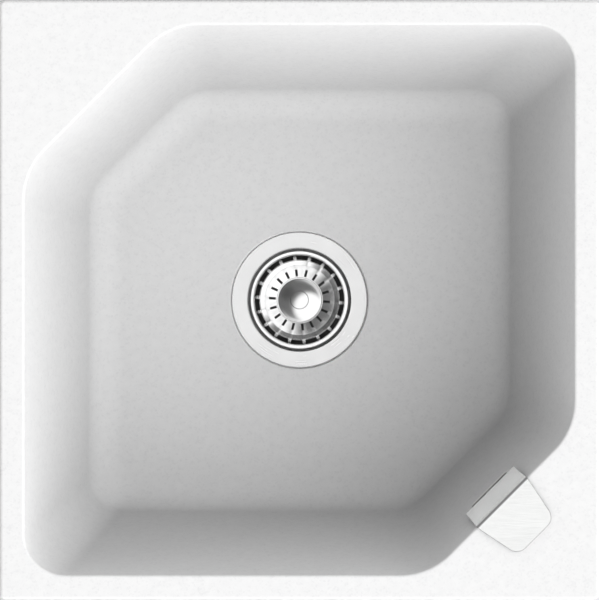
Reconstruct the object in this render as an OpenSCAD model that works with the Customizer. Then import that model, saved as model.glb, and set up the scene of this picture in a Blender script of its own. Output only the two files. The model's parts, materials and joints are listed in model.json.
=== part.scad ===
// Drop-in kitchen sink in white granite composite: one square bowl with two cut corners, a basket
// strainer in its floor, an overflow with its hose, and four clamps that hold the rim to the worktop.
// The origin is the bowl's centre, in the plane where the rim lies on the worktop. +Z points up, +X to
// the right and +Y to the back. Lengths are in millimetres.

/* [Rim] */
// Overall width of the sink, left to right
sink_w = 500; // [480:5:560]
// Overall depth of the sink, front to back
sink_d = 500; // [480:5:560]
// Height of the rim above the worktop
rim_t = 8; // [6:0.5:12]
// Width of the rim round the bowl
rim_w = 20; // [20:1:30]
// How far the rim lies on the worktop beyond the edge of the cut-out
rim_overlap = 10; // [9:0.5:12]
// Radius of the rim's outer corners, seen from above
rim_corner_r = 4; // [3:0.5:12]
// Radius of the rim's outer top edge
rim_edge_r = 2.5; // [1:0.5:2.5]
// Width of the sealing strip under the rim
rim_seal_w = 6; // [4:0.5:7]
// Thickness of the sealing strip, which is also the depth of its groove
rim_seal_t = 2; // [1.5:0.5:3]
// Distance from the tap hole's centre to the rim's two outer edges
tap_inset = 48.5; // [46:0.5:52]
// Radius of the scored tap hole
tap_hole_r = 17.5; // [16:0.5:18]
// Radius of the thick pad under the tap hole
tap_pad_r = 28; // [24:1:30]
// Height of the thick pad under the tap hole
tap_pad_h = 4; // [2:1:8]
// Width of the score round the tap hole
score_w = 1.5; // [1:0.5:2]
// Depth of the score, from the underside of the pad
score_depth = 7; // [4:0.5:8]

/* [Bowl] */
// Depth of the bowl at the drain, from the rim's top
bowl_depth = 190; // [170:5:220]
// Thickness of the bowl's walls
wall_t = 10; // [8:0.5:10]
// Thickness of the floor at the drain
floor_t = 13; // [11:0.5:16]
// How far the four straight walls lean in, from the bowl's edge to the floor
wall_run = 59; // [50:1:64]
// How far the two cut walls lean in, from the bowl's edge to the floor
cut_run = 54; // [46:1:60]
// Length that each cut takes off the two sides it joins
cut_leg = 122; // [110:2:136]
// Radius of the bowl's top edge
bowl_edge_r = 2.5; // [1.5:0.5:3]
// Radius where the walls meet the floor
floor_r = 31; // [24:1:36]
// Fall of the floor towards the drain
floor_fall = 3; // [2:0.5:4]
// Radius of the two square corners at the bowl's edge
corner_r_top = 35; // [28:1:40]
// Radius of the two square corners where the walls end
corner_r_low = 28; // [24:1:32]
// Radius of the two square corners on the floor
corner_r_floor = 20; // [14:1:24]
// Radius between a cut and a straight wall at the bowl's edge
cut_r_top = 60; // [50:2:70]
// Radius between a cut and a straight wall where the walls end
cut_r_low = 45; // [36:1:50]
// Radius between a cut and a straight wall on the floor
cut_r_floor = 25; // [20:1:32]

/* [Strainer cup] */
// Radius of the drain hole in the floor
drain_r = 45; // [44.5:0.5:45]
// Radius of the recess that holds the cup's flange
recess_r = 59.5; // [58:0.5:62]
// Depth of the recess
recess_depth = 2.5; // [2:0.5:3.5]
// Radius of the cup's flange
flange_r = 57; // [56:0.5:57.5]
// Sheet thickness of the cup
cup_t = 1; // [0.8:0.1:1.2]
// Inner radius of the cup
cup_r = 43.3; // [43:0.1:43.6]
// Depth of the cup
cup_depth = 32; // [30:1:36]
// Height of the cone at the cup's bottom, on which the seal sits
seat_h = 10; // [9:0.5:12]
// Inner radius at the foot of that cone
seat_r = 31; // [30:0.5:33]
// Number of openings in the cup's bottom
cup_holes = 6; // [4:1:8]
// Width of the spokes between those openings
cup_spoke = 5; // [4:0.5:7]

/* [Basket] */
// Outer radius of the basket's rolled rim
basket_r = 40.8; // [40:0.1:41.2]
// Radius of the roll itself
basket_roll_r = 1.1; // [0.9:0.1:1.3]
// Depth of the roll's centre below the floor at the drain
basket_rim_drop = 2; // [1.5:0.5:3]
// Depth of the basket's trough below the floor at the drain
trough_drop = 16; // [14:1:17]
// Outer radius of the trough's flat bottom
trough_r = 33.7; // [33:0.1:34.4]
// Inner radius of the trough's flat bottom
cone_r = 31.5; // [30.5:0.1:32]
// Radius at the top of the cone inside the trough
crown_r = 20.2; // [19.6:0.1:20.8]
// Depth of the crown below the floor at the drain
crown_drop = 6; // [5:0.5:7]
// Sheet thickness of the basket
basket_t = 0.8; // [0.6:0.1:1]
// Number of windows in the basket's wall, and of slots in its cone
window_count = 18; // [12:1:20]
// Width of the ribs between the windows
window_rib = 1.1; // [0.9:0.1:2]
// Outer end of the slots in the cone
slot_end_r = 26.3; // [25:0.1:28]
// Width of the slots in the cone
slot_w = 1.6; // [1.2:0.1:2]
// Radius of the knob
knob_r = 19; // [16:0.5:19]
// Height of the knob's edge above the floor at the drain
knob_rise = 6; // [4:0.5:8]
// Width of the knob's flat edge
knob_edge = 1.9; // [1.5:0.1:2.5]
// Depth of the knob's dish
dish_depth = 3.2; // [2:0.1:3.4]
// Radius of the flat at the bottom of the dish
dish_flat_r = 7.5; // [6:0.5:9]
// Radius of the knob's neck
neck_r = 9; // [8:0.5:11]
// Radius of the stem's upper end, on which the basket turns
journal_r = 4; // [3.5:0.1:4]
// Radius of the stem where it slides in the hollow screw
stem_r = 4.2; // [3.8:0.1:4.4]
// Radius of the stem's hub below the basket
hub_r = 9; // [8:0.5:11]
// Thickness of the seal disc
seal_t = 2.5; // [2:0.5:3]
// Thickness of the plate over the seal disc
seal_plate_t = 1; // [0.8:0.1:1.2]
// Radius of the plate over the seal disc
seal_plate_r = 30; // [26:0.5:32]
// Length of the stem below the cup's bottom
stem_tail = 19; // [14:1:22]
// Section of the ring in the stem's groove
stem_ring_t = 1.6; // [1.2:0.1:2]

/* [Waste] */
// Thickness of the gasket under the bowl
body_gasket_t = 3; // [2:0.5:4]
// Radius of the waste body's flange
body_flange_r = 58; // [57:0.5:62]
// Thickness of the waste body's flange
body_flange_t = 5; // [4:0.5:6]
// Inner radius of the waste body's chamber
body_r = 50; // [48:0.5:52]
// Wall thickness of the waste body
body_t = 3; // [2.5:0.5:4]
// Depth of the chamber's straight part below its flange
body_h = 23; // [22:0.5:26]
// Height of the funnel below the chamber
funnel_h = 16; // [14:1:22]
// Outer radius of the outlet, where the trap's nut screws on
outlet_r = 23.9; // [23.9:0.1:24]
// Bore radius of the outlet
outlet_bore_r = 20; // [18:0.5:20.5]
// Length of the outlet
outlet_l = 22; // [18:1:28]
// Radius of the hub in the waste body
post_r = 13; // [12.5:0.5:14]
// Thickness of the ribs that carry that hub
post_rib = 3; // [2.5:0.5:4]
// Radius of the hollow screw's head
hollow_head_r = 9.5; // [9:0.5:11]
// Height of the hollow screw's head
hollow_head_h = 4; // [3:0.5:4]
// Radius of the hollow screw's shank
hollow_r = 6; // [5.8:0.1:6.2]
// Length of the hollow screw's shank
hollow_l = 26; // [24:1:27]
// Width across the corners of the hollow screw's nut
hollow_nut_w = 21; // [19:0.5:22]
// Height of the hollow screw's nut
hollow_nut_h = 7; // [5:0.5:8]

/* [Overflow] */
// Depth of the overflow's centre below the rim's top
overflow_drop = 35; // [34:0.5:38]
// Width of the overflow opening in the wall
overflow_w = 40; // [34:1:42]
// Height of the overflow opening in the wall
overflow_h = 14; // [12:0.5:15]
// Width of the frame in the overflow opening
insert_w = 48; // [46:0.5:50]
// Height of that frame, along the wall
insert_h = 22.8; // [20:0.1:23]
// How far that frame stands proud of the wall
insert_proud = 3.1; // [2.5:0.1:3.1]
// Length of the cover's tab on the rim
cover_tab = 40.8; // [36:0.2:44]
// Width of the cover at its fold
cover_w = 59.2; // [54:0.2:62]
// Width of the cover's lower edge
cover_low_w = 56.2; // [52:0.2:58]
// Width of the tab where its corners start
cover_tab_w = 45.8; // [40:0.2:48]
// Radius of the tab's corners
cover_corner_r = 10; // [6:0.5:12]
// Sheet thickness of the cover
cover_t = 1.2; // [0.8:0.1:1.2]
// How far the cover reaches down, from the rim's top
cover_drop = 30; // [26:0.5:31]
// Angle between the cover's band and the vertical
cover_lean = 22.7; // [22.5:0.1:25]
// Thickness of the pad under the tab
pad_t = 0.6; // [0.4:0.1:1]
// Thickness of the gasket behind the wall
overflow_gasket_t = 3; // [2:0.5:4]
// Width of the overflow head's plate
head_w = 54; // [52:0.5:60]
// Height of the overflow head's plate
head_h = 32; // [30:0.5:36]
// Depth of the overflow head's chamber
head_depth = 22; // [22:0.5:26]
// Wall thickness of the overflow head
head_t = 2; // [1.5:0.1:2.5]
// Distance of the head's spigot outwards from the bowl's edge
spigot_out = 12; // [11.5:0.5:12.5]
// Depth of the head's spigot end below the worktop's top
spigot_drop = 68; // [64:1:76]
// Radius of the overflow screw
overflow_screw_r = 2; // [1.5:0.1:2.5]

/* [Hose] */
// Radius over the hose's ribs
hose_r = 12; // [11.5:0.1:12.5]
// Radius of the hose's plain ends, and of the spigots they meet
hose_end_r = 10.5; // [10:0.1:10.7]
// Bore radius of the hose
hose_bore_r = 8; // [7:0.1:8.2]
// Distance from one rib to the next
hose_pitch = 4; // [3.5:0.1:6]
// Length of the hose's plain ends
hose_end_l = 26; // [24:1:30]
// Radius of the hose's bend, at its centre line
hose_bend_r = 70; // [50:5:75]
// Distance of the hose's lower end from the drain's centre
hose_inner = 80; // [76:1:90]
// Depth of the hose's lower run below the bowl's underside
hose_drop = 19; // [17:0.5:20]
// Outer radius of the hose nuts
hose_nut_r = 15; // [14.5:0.5:17]
// Length of the hose nuts
hose_nut_l = 24; // [20:1:24]

/* [Clamps] */
// Distance of each clamp from the middle of its side
clamp_shift = 40; // [20:1:60]
// Radius of the bosses that hold the clamp screws
boss_r = 6.5; // [6:0.1:7]
// Length of those bosses below the rim
boss_h = 36; // [34:1:40]
// Gap between a boss and the edge of the worktop's cut-out
boss_gap = 1; // [1:0.1:1.5]
// Radius of the threaded inserts
insert_r = 3.75; // [3.5:0.05:4]
// Length of the threaded inserts
thread_l = 12; // [10:1:14]
// Radius of the clamp screws
screw_r = 2.5; // [2:0.1:2.6]
// Length of the clamp screws below their heads
screw_l = 35; // [32:1:36]
// Radius of the clamp screws' heads
screw_head_r = 4.25; // [4:0.05:4.6]
// Height of the clamp screws' heads
screw_head_h = 4; // [3:0.5:5]
// Gap between a boss and its jaw with the screw home
jaw_gap = 1; // [0.6:0.1:2]
// Thickness of the jaws
jaw_t = 3; // [2.5:0.1:4]
// Radius of the jaws' eyes
eye_r = 5.5; // [5:0.1:5.7]
// Length of the jaws from the screw to their outer face
jaw_l = 26; // [22:1:30]
// Height of the jaws' upturned ends, teeth included
jaw_h = 13; // [11:0.5:14]
// Width of the jaws' arms
jaw_w = 7.5; // [6.5:0.1:7.6]
// Number of teeth on each jaw
jaw_teeth = 3; // [2:1:5]
// Thickness of the clamp washers
washer_t = 1; // [0.8:0.1:1.5]
// Radius of the clamp washers
washer_r = 5; // [4.8:0.1:5.4]

/* [Hidden] */
$fn = 96;

// Gap round a part that turns or slides on another
run_gap = 0.05;
// Gap round a part that is pressed or screwed into another
fit_gap = 0.03;
// Gap between faces of parts that move apart
face_gap = 0.3;
// How far a cutting shape runs past the face that it cuts
over = 1;

// Heights
z_top = rim_t;
z_drain = z_top - bowl_depth;
z_floor = z_drain + floor_fall;
z_under = z_drain - floor_t;
z_recess = z_drain - recess_depth;
wall_h = z_top - z_floor;

// The bowl's edge: half its width and depth, and the distance of its cuts from the centre
half_w = sink_w / 2 - rim_w;
half_d = sink_d / 2 - rim_w;
cut_out = (half_w + half_d - cut_leg) / sqrt(2);
// Half the worktop's cut-out
hole_w = sink_w / 2 - rim_overlap;
hole_d = sink_d / 2 - rim_overlap;

// The angle that a wall leans from the vertical, for the distance that it leans in
function lean(run) = atan(run / wall_h);

// The distance of a plane wall from the centre at height z, for its distance at the bowl's edge
function wall_line(z, edge, run) = edge - (z_top - z) * run / wall_h;

// The height at which a wall ends and its foot of radius r starts, over a floor at height z0
function foot_top(z0, run, r) = z0 + r * (1 - sin(lean(run)));

// The distance of a wall with its foot from the centre at height z
function wall_at(z, edge, run, z0, r) =
    z >= foot_top(z0, run, r) ? wall_line(z, edge, run)
    : wall_line(z0, edge, run) - r * tan(45 - lean(run) / 2) + sqrt(max(0, r * r - pow(z0 + r - z, 2)));

// The distance of the bowl's rounded top edge from the centre at height z
function edge_at(z, edge, run) =
    edge + bowl_edge_r * tan(45 - lean(run) / 2)
    - sqrt(max(0, pow(bowl_edge_r, 2) - pow(z - z_top + bowl_edge_r, 2)));

// A value that goes evenly from a at height za to b at height zb
function between(z, za, a, zb, b) = a + (b - a) * (z - za) / (zb - za);

// The point where two lines cross, each given by the angle of its normal and its distance
function crossing(a1, d1, a2, d2) =
    [d1 * sin(a2) - d2 * sin(a1), d2 * cos(a1) - d1 * cos(a2)] / sin(a2 - a1);

// The outline of the bowl at one height: four straight sides and two cuts, with every corner round
corner_steps = 8;
cut_steps = 4;
function outline(w, d, cut, r, r_cut, z) =
    let (sides = [[0, w], [90, d], [135, cut], [180, w], [270, d], [315, cut], [360, w]])
    [
        for (i = [0:5])
            let (
                a = sides[i],
                b = sides[i + 1],
                square_corner = b[0] - a[0] == 90,
                radius = square_corner ? r : r_cut,
                steps = square_corner ? corner_steps : cut_steps,
                c = crossing(a[0], a[1] - radius, b[0], b[1] - radius)
            )
            for (k = [0:steps])
                let (angle = a[0] + (b[0] - a[0]) * k / steps)
                [c.x + radius * cos(angle), c.y + radius * sin(angle), z]
    ];

// A ring of the bowl's inner surface
function inner_ring(z) =
    let (
        foot = foot_top(z_floor, wall_run, floor_r),
        low = z < foot,
        za = low ? z_floor : foot,
        zb = low ? foot : z_top
    )
    outline(
        wall_at(z, half_w, wall_run, z_floor, floor_r),
        wall_at(z, half_d, wall_run, z_floor, floor_r),
        wall_at(z, cut_out, cut_run, z_floor, floor_r),
        between(z, za, low ? corner_r_floor : corner_r_low, zb, low ? corner_r_low : corner_r_top),
        between(z, za, low ? cut_r_floor : cut_r_low, zb, low ? cut_r_low : cut_r_top),
        z
    );

// A ring of the bowl's rounded top edge
function edge_ring(z) =
    let (grown = edge_at(z, half_w, wall_run) - half_w)
    outline(
        edge_at(z, half_w, wall_run), edge_at(z, half_d, wall_run), edge_at(z, cut_out, cut_run),
        corner_r_top + grown, cut_r_top + grown, z
    );

// A ring of the rim's outer side, drawn in from the overall size, with its cuts just inside the corners
least_corner_r = 0.5;
corner_flat = 0.15;
function rim_ring(inset, z) =
    let (
        w = sink_w / 2 - inset,
        d = sink_d / 2 - inset,
        r = max(least_corner_r, rim_corner_r - inset)
    )
    outline(w, d, (w + d - 2 * r) / sqrt(2) + r - corner_flat, r, r, z);

// A ring of the bowl's outer surface, widened for the chamfer under the rim
function outer_ring(z, wider = 0) =
    let (
        r = floor_r + wall_t,
        foot = foot_top(z_under, wall_run, r),
        low = z < foot,
        za = low ? z_under : foot,
        zb = low ? foot : z_top,
        grown = wall_t + wider
    )
    outline(
        wall_at(z, half_w + wall_t, wall_run, z_under, r) + wider,
        wall_at(z, half_d + wall_t, wall_run, z_under, r) + wider,
        wall_at(z, cut_out + wall_t, cut_run, z_under, r) + wider,
        between(z, za, low ? corner_r_floor : corner_r_low, zb, low ? corner_r_low : corner_r_top) + grown,
        between(z, za, low ? cut_r_floor : cut_r_low, zb, low ? cut_r_low : cut_r_top) + grown,
        z
    );

foot_steps = 5;
edge_steps = 3;
under_chamfer = 2;
// Angles along the foot, from the floor to the wall, and along a rounded edge
foot_angles = [for (i = [0:foot_steps]) (90 - lean(wall_run)) * i / foot_steps];
bowl_edge_angles = [for (i = [edge_steps:-1:0]) (90 - lean(wall_run)) * i / edge_steps];
rim_edge_angles = [for (i = [0:edge_steps]) 90 * i / edge_steps];

// The bowl's skin, ring by ring: from the floor up the wall, over the rim and down the outside
bowl_rings = [
    for (a = foot_angles) inner_ring(z_floor + floor_r * (1 - cos(a))),
    for (a = bowl_edge_angles) edge_ring(z_top - bowl_edge_r * (1 - cos(a))),
    for (a = rim_edge_angles) rim_ring(rim_edge_r * (1 - sin(a)), z_top - rim_edge_r * (1 - cos(a))),
    rim_ring(0, 0),
    outer_ring(0, under_chamfer),
    outer_ring(-under_chamfer),
    for (i = [foot_steps:-1:0]) outer_ring(z_under + (floor_r + wall_t) * (1 - cos(foot_angles[i])))
];

// A closed skin over rings of points, shut by a flat face at its first and last ring
module skin(rings) {
    n = len(rings[0]);
    last = len(rings) - 1;
    polyhedron(
        points = [for (ring = rings) each ring],
        faces = [
            [for (i = [n - 1:-1:0]) i],
            for (k = [0:last - 1], i = [0:n - 1])
                each [
                    [k * n + i, k * n + (i + 1) % n, (k + 1) * n + (i + 1) % n],
                    [k * n + i, (k + 1) * n + (i + 1) % n, (k + 1) * n + i]
                ],
            [for (i = [0:n - 1]) last * n + i]
        ]
    );
}

module tube(r_out, r_in, h) {
    difference() {
        cylinder(r = r_out, h = h);
        translate([0, 0, -over]) cylinder(r = r_in, h = h + 2 * over);
    }
}

// A plate with round corners, its middle on the Z axis
module rounded_plate(w, d, r, h) {
    linear_extrude(h) {
        square([w - 2 * r, d], center = true);
        square([w, d - 2 * r], center = true);
        for (x = [-1, 1], y = [-1, 1]) translate([x * (w / 2 - r), y * (d / 2 - r)]) circle(r);
    }
}

// A square ring with round corners, between two distances from the rim's outer edge
band_corner_r = 6;
module rim_band(from_edge, to_edge, h) {
    outer_r = band_corner_r + to_edge - from_edge;
    difference() {
        rounded_plate(sink_w - 2 * from_edge, sink_d - 2 * from_edge, outer_r, h);
        translate([0, 0, -over])
            rounded_plate(sink_w - 2 * to_edge, sink_d - 2 * to_edge, band_corner_r, h + 2 * over);
    }
}

// Places: the overflow stands at the middle of the front right cut, with X pointing out of the bowl
cut_mid = [half_w - cut_leg / 2, -(half_d - cut_leg / 2)];
module at_cut() translate([cut_mid.x, cut_mid.y, 0]) rotate([0, 0, -45]) children();

// The overflow's own frame on the cut wall: X out through the wall, Z up along it
z_overflow = z_top - overflow_drop;
cut_lean = lean(cut_run);
wall_through = wall_t * cos(cut_lean);
module on_wall() {
    at_cut()
        translate([wall_line(z_overflow, 0, cut_run), 0, z_overflow])
            rotate([0, cut_lean, 0]) children();
}

// A plate that stands across X, from x0 to x1
module plate_across(w, h, r, x0, x1) {
    translate([x0, 0, 0]) rotate([90, 0, 90]) rounded_plate(w, h, r, x1 - x0);
}

// A slot with round ends that runs along X, from x0 to x1. Its ends keep a hair of flat
slot_end_flat = 0.02;
module slot(w, h, x0, x1) {
    plate_across(w, h, (h - slot_end_flat) / 2, x0, x1);
}

// A rod along X, from x0 to x1
module rod(r, x0, x1) {
    translate([x0, 0, 0]) rotate([0, 90, 0]) cylinder(r = r, h = x1 - x0);
}

// Clamps: back, left, front, right, each with its local Y pointing out of the bowl
clamp_back = 0;
clamp_left = 1;
clamp_front = 2;
clamp_right = 3;
boss_d = hole_d - boss_gap - boss_r;
boss_w = hole_w - boss_gap - boss_r;
module at_clamp(side) {
    along = side % 2 == 0 ? clamp_shift : -clamp_shift;
    out = side % 2 == 0 ? boss_d : boss_w;
    rotate([0, 0, 90 * side]) translate([along, out, 0]) children();
}

// Inner distance of the sealing strip from the rim's outer edge
seal_margin = (rim_overlap - rim_seal_w) / 2;

// A boss under the rim. Its top is cut back so that it stays inside the wall
boss_top_h = 6;
boss_back = 1;
module boss() {
    translate([0, 0, -boss_h]) cylinder(r = boss_r, h = boss_h - boss_top_h);
    intersection() {
        translate([0, 0, -boss_top_h - over]) cylinder(r = boss_r, h = boss_top_h + 2 * over);
        translate([-boss_r, -boss_back, -boss_top_h - 2 * over])
            cube([2 * boss_r, boss_r + 2 * boss_back, boss_top_h + 4 * over]);
    }
}

// The hole in a boss: a seat for the insert, and a bore that ends past the screw's end
screw_end = -boss_h - jaw_gap - jaw_t - washer_t + screw_l;
bore_gap = 0.5;
bore_past = 2;
module boss_hole() {
    translate([0, 0, -boss_h - over]) cylinder(r = insert_r + fit_gap, h = thread_l + over);
    translate([0, 0, -boss_h]) cylinder(r = screw_r + bore_gap, h = boss_h + screw_end + bore_past);
}

// The floor falls to the drain as a cone, which starts a little inside the foot of the nearest wall
dish_margin = 2;
dish_r = min(
    wall_at(z_floor, half_w, wall_run, z_floor, floor_r),
    wall_at(z_floor, half_d, wall_run, z_floor, floor_r),
    wall_at(z_floor, cut_out, cut_run, z_floor, floor_r)
) - dish_margin;
module drain_cuts() {
    translate([0, 0, z_drain]) cylinder(r1 = recess_r, r2 = dish_r, h = floor_fall);
    translate([0, 0, z_floor]) cylinder(r = dish_r, h = over);
    translate([0, 0, z_recess]) cylinder(r = recess_r, h = recess_depth + over);
    translate([0, 0, z_under - over]) cylinder(r = drain_r, h = floor_t + 2 * over);
}

module at_tap() translate([-sink_w / 2 + tap_inset, sink_d / 2 - tap_inset, 0]) children();

module sink_bowl() {
    color("whitesmoke")
        difference() {
            union() {
                skin(bowl_rings);
                for (side = [0:3]) at_clamp(side) boss();
                at_tap() translate([0, 0, -tap_pad_h]) cylinder(r = tap_pad_r, h = tap_pad_h + over);
            }
            drain_cuts();
            on_wall() slot(overflow_w, overflow_h, -2 * over, wall_through + 2 * over);
            for (side = [0:3]) at_clamp(side) boss_hole();
            at_tap()
                translate([0, 0, -tap_pad_h - over])
                    tube(tap_hole_r, tap_hole_r - score_w, score_depth + over);
            translate([0, 0, -over])
                rim_band(seal_margin, seal_margin + rim_seal_w, rim_seal_t + over);
        }
}

module rim_seal() {
    color("dimgray")
        rim_band(seal_margin + fit_gap, seal_margin + rim_seal_w - fit_gap, rim_seal_t);
}

module clamp_inserts() {
    color("goldenrod")
        for (side = [0:3])
            at_clamp(side) translate([0, 0, -boss_h]) tube(insert_r, screw_r + run_gap, thread_l);
}

// Strainer cup and waste

z_cup = z_drain - cup_depth;
z_seat = z_cup + seat_h;
flange_gasket_t = recess_depth - cup_t;
gasket_in_r = drain_r + 1;
// Gap round a screw or a hose where it passes through a hole
pass_gap = 0.2;

module flange_gasket() {
    lip_gap = 0.5;
    color("dimgray")
        translate([0, 0, z_recess]) tube(flange_r - cup_t - lip_gap, gasket_in_r, flange_gasket_t);
}

// The slope of the cup's seat
seat_angle = atan(seat_h / (cup_r - seat_r));
module waste_cup() {
    bevel = 1;
    roll = 1.2;
    lip = recess_depth - face_gap;
    // How far the sheet's outer side lies along its length from its inner side, where it bends
    sheet_side = cup_t * tan(seat_angle / 2);
    hole = hollow_r + pass_gap;
    opening_in = hollow_head_r + 1.5;
    opening_out = seat_r - 3;
    color("silver")
        difference() {
            rotate_extrude()
                polygon([
                    [flange_r - bevel, z_drain], [cup_r + roll, z_drain], [cup_r, z_drain - roll],
                    [cup_r, z_seat], [seat_r, z_cup], [hole, z_cup],
                    [hole, z_cup - cup_t], [seat_r + sheet_side, z_cup - cup_t],
                    [cup_r + cup_t, z_seat - sheet_side], [cup_r + cup_t, z_drain - cup_t - roll / 2],
                    [cup_r + cup_t + roll / 2, z_drain - cup_t], [flange_r - cup_t, z_drain - cup_t],
                    [flange_r - cup_t, z_drain - lip], [flange_r, z_drain - lip],
                    [flange_r, z_drain - bevel]
                ]);
            translate([0, 0, z_cup - cup_t - over])
                difference() {
                    tube(opening_out, opening_in, cup_t + 2 * over);
                    for (i = [0:cup_holes - 1])
                        rotate([0, 0, i * 360 / cup_holes])
                            translate([0, -cup_spoke / 2, -over])
                                cube([seat_r, cup_spoke, cup_t + 4 * over]);
                }
        }
}

z_flange = z_under - body_gasket_t;
z_chamber = z_flange - body_flange_t - body_h;
z_outlet = z_chamber - funnel_h;
z_hose = z_under - hose_drop;
hollow_end = z_cup - hollow_l;
post_past = 0.5;
z_post = hollow_end - post_past;

module body_gasket() {
    color("dimgray")
        translate([0, 0, z_flange]) tube(body_flange_r - 1, gasket_in_r, body_gasket_t);
}

// The direction from the drain to the overflow head's spigot, and the distance between them
spigot_at = cut_mid + spigot_out * [cos(-45), sin(-45)];
hose_dir = atan2(spigot_at.y, spigot_at.x);
hose_outer = norm(spigot_at);
module in_hose_plane() rotate([0, 0, hose_dir]) children();

// The spigots that the hose's ends meet have a thread collar a little short of their ends
collar_r = hose_end_r + 1.4;
collar_l = 10;
collar_back = 4;
module collar(l) {
    translate([0, 0, l - collar_back - collar_l]) cylinder(r = collar_r, h = collar_l);
}

// The waste body is three mouldings, welded together: a chamber with the hose's spigot, a funnel with the
// post for the hollow screw, and a tail with the outlet. The funnel's lip stands inside the chamber's wall.
flange_bevel = 1;
lip_t = 2;
lip_h = 3;
lip_in_r = body_r - fit_gap - lip_t;
z_lip = z_chamber + lip_h;
// The tail goes this far into the funnel's socket, which ends this much wider than the outlet
tail_in = 5;
socket_t = 3;
// The part in the socket is thinner by this, so the tail ends in a shoulder under the funnel
tail_step = 1.5;
socket_r = outlet_r - tail_step + fit_gap;
z_tail = z_outlet + tail_in;

module waste_body() {
    spigot_in = body_r - 1;
    spigot_l = hose_inner - spigot_in;
    z_flange_under = z_flange - body_flange_t;
    color("gainsboro")
        difference() {
            union() {
                rotate_extrude()
                    polygon([
                        [gasket_in_r, z_flange], [body_flange_r, z_flange], [body_flange_r, z_flange_under],
                        [body_r + body_t, z_flange_under], [body_r + body_t, z_chamber], [body_r, z_chamber],
                        [body_r, z_flange_under], [gasket_in_r, z_flange_under + flange_bevel]
                    ]);
                in_hose_plane()
                    translate([spigot_in, 0, z_hose])
                        rotate([0, 90, 0]) {
                            cylinder(r = hose_end_r, h = spigot_l);
                            collar(spigot_l);
                        }
            }
            translate([0, 0, z_chamber - over]) cylinder(r = body_r, h = z_flange_under - z_chamber + over);
            in_hose_plane() translate([0, 0, z_hose]) rod(hose_bore_r, spigot_in - over, hose_inner + over);
        }
}

module waste_funnel() {
    rib_foot = z_tail + 1;
    in_wall = 1;
    color("gainsboro") {
        rotate_extrude()
            polygon([
                [body_r + body_t, z_chamber], [body_r + body_t, z_chamber - flange_bevel],
                [outlet_r + socket_t, z_outlet], [socket_r, z_outlet], [socket_r, z_tail],
                [lip_in_r, z_chamber], [lip_in_r, z_lip], [body_r - fit_gap, z_lip],
                [body_r - fit_gap, z_chamber]
            ]);
        difference() {
            union() {
                translate([0, 0, z_post]) cylinder(r = post_r, h = z_cup - cup_t - z_post);
                intersection() {
                    rotate_extrude()
                        polygon([
                            [0, z_lip], [lip_in_r + in_wall, z_lip], [lip_in_r + in_wall, z_chamber],
                            [socket_r + in_wall, z_tail], [0, z_tail]
                        ]);
                    for (a = [0, 90])
                        rotate([0, 0, a])
                            translate([-body_r, -post_rib / 2, rib_foot])
                                cube([2 * body_r, post_rib, z_lip - rib_foot]);
                }
            }
            translate([0, 0, z_post - over]) cylinder(r = hollow_r + pass_gap, h = hollow_l + 3 * over);
            translate([0, 0, z_post - over])
                cylinder(d = hollow_nut_w + 2 * fit_gap, h = hollow_nut_h + over, $fn = 6);
        }
    }
}

module waste_tail() {
    color("gainsboro")
        rotate_extrude()
            polygon([
                [outlet_bore_r, z_outlet - outlet_l], [outlet_r, z_outlet - outlet_l],
                [outlet_r, z_outlet - fit_gap], [socket_r - fit_gap, z_outlet - fit_gap],
                [socket_r - fit_gap, z_tail], [outlet_bore_r, z_tail - tail_in / 3]
            ]);
}

module waste_screw() {
    bevel = 1;
    color("silver")
        difference() {
            union() {
                translate([0, 0, hollow_end]) cylinder(r = hollow_r, h = hollow_l);
                translate([0, 0, z_cup]) cylinder(r = hollow_head_r, h = hollow_head_h - bevel);
                translate([0, 0, z_cup + hollow_head_h - bevel])
                    cylinder(r1 = hollow_head_r, r2 = hollow_head_r - bevel, h = bevel);
            }
            translate([0, 0, hollow_end - over])
                cylinder(r = stem_r + run_gap, h = hollow_l + hollow_head_h + 2 * over);
        }
}

module waste_nut() {
    color("goldenrod")
        translate([0, 0, z_post])
            difference() {
                cylinder(d = hollow_nut_w, h = hollow_nut_h - fit_gap, $fn = 6);
                translate([0, 0, -over]) cylinder(r = hollow_r + fit_gap, h = hollow_nut_h + 2 * over);
            }
}

// Basket, knob and stem, shown pushed down with the waste shut

z_roll = z_drain - basket_rim_drop;
z_trough = z_drain - trough_drop;
z_crown = z_drain - crown_drop;
z_knob = z_drain + knob_rise;
roll_centre = basket_r - basket_roll_r;
window_step = 360 / window_count;

// The basket in section: rolled rim, sloping wall, trough, cone and crown
trough_bend = 1.2;
wall_in_roll = 0.2;
module basket_section() {
    wall_out = roll_centre + wall_in_roll;
    half_t = basket_t / 2;
    translate([roll_centre, z_roll]) circle(basket_roll_r, $fn = 32);
    polygon([
        [wall_out - basket_t, z_roll], [trough_r + trough_bend, z_trough + trough_bend],
        [trough_r, z_trough], [cone_r, z_trough],
        [crown_r, z_crown], [journal_r + run_gap, z_crown],
        [journal_r + run_gap, z_crown - basket_t], [crown_r - half_t, z_crown - basket_t],
        [cone_r - half_t, z_trough - basket_t], [trough_r + half_t, z_trough - basket_t],
        [trough_r + trough_bend + basket_t, z_trough + trough_bend - half_t], [wall_out, z_roll]
    ]);
}

// A sector of the plane between two radii
module sector(r0, r1, half_angle) {
    polygon([
        [r0 * cos(half_angle), -r0 * sin(half_angle)], [r1 * cos(half_angle), -r1 * sin(half_angle)],
        [r1 * cos(half_angle), r1 * sin(half_angle)], [r0 * cos(half_angle), r0 * sin(half_angle)]
    ]);
}

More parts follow.
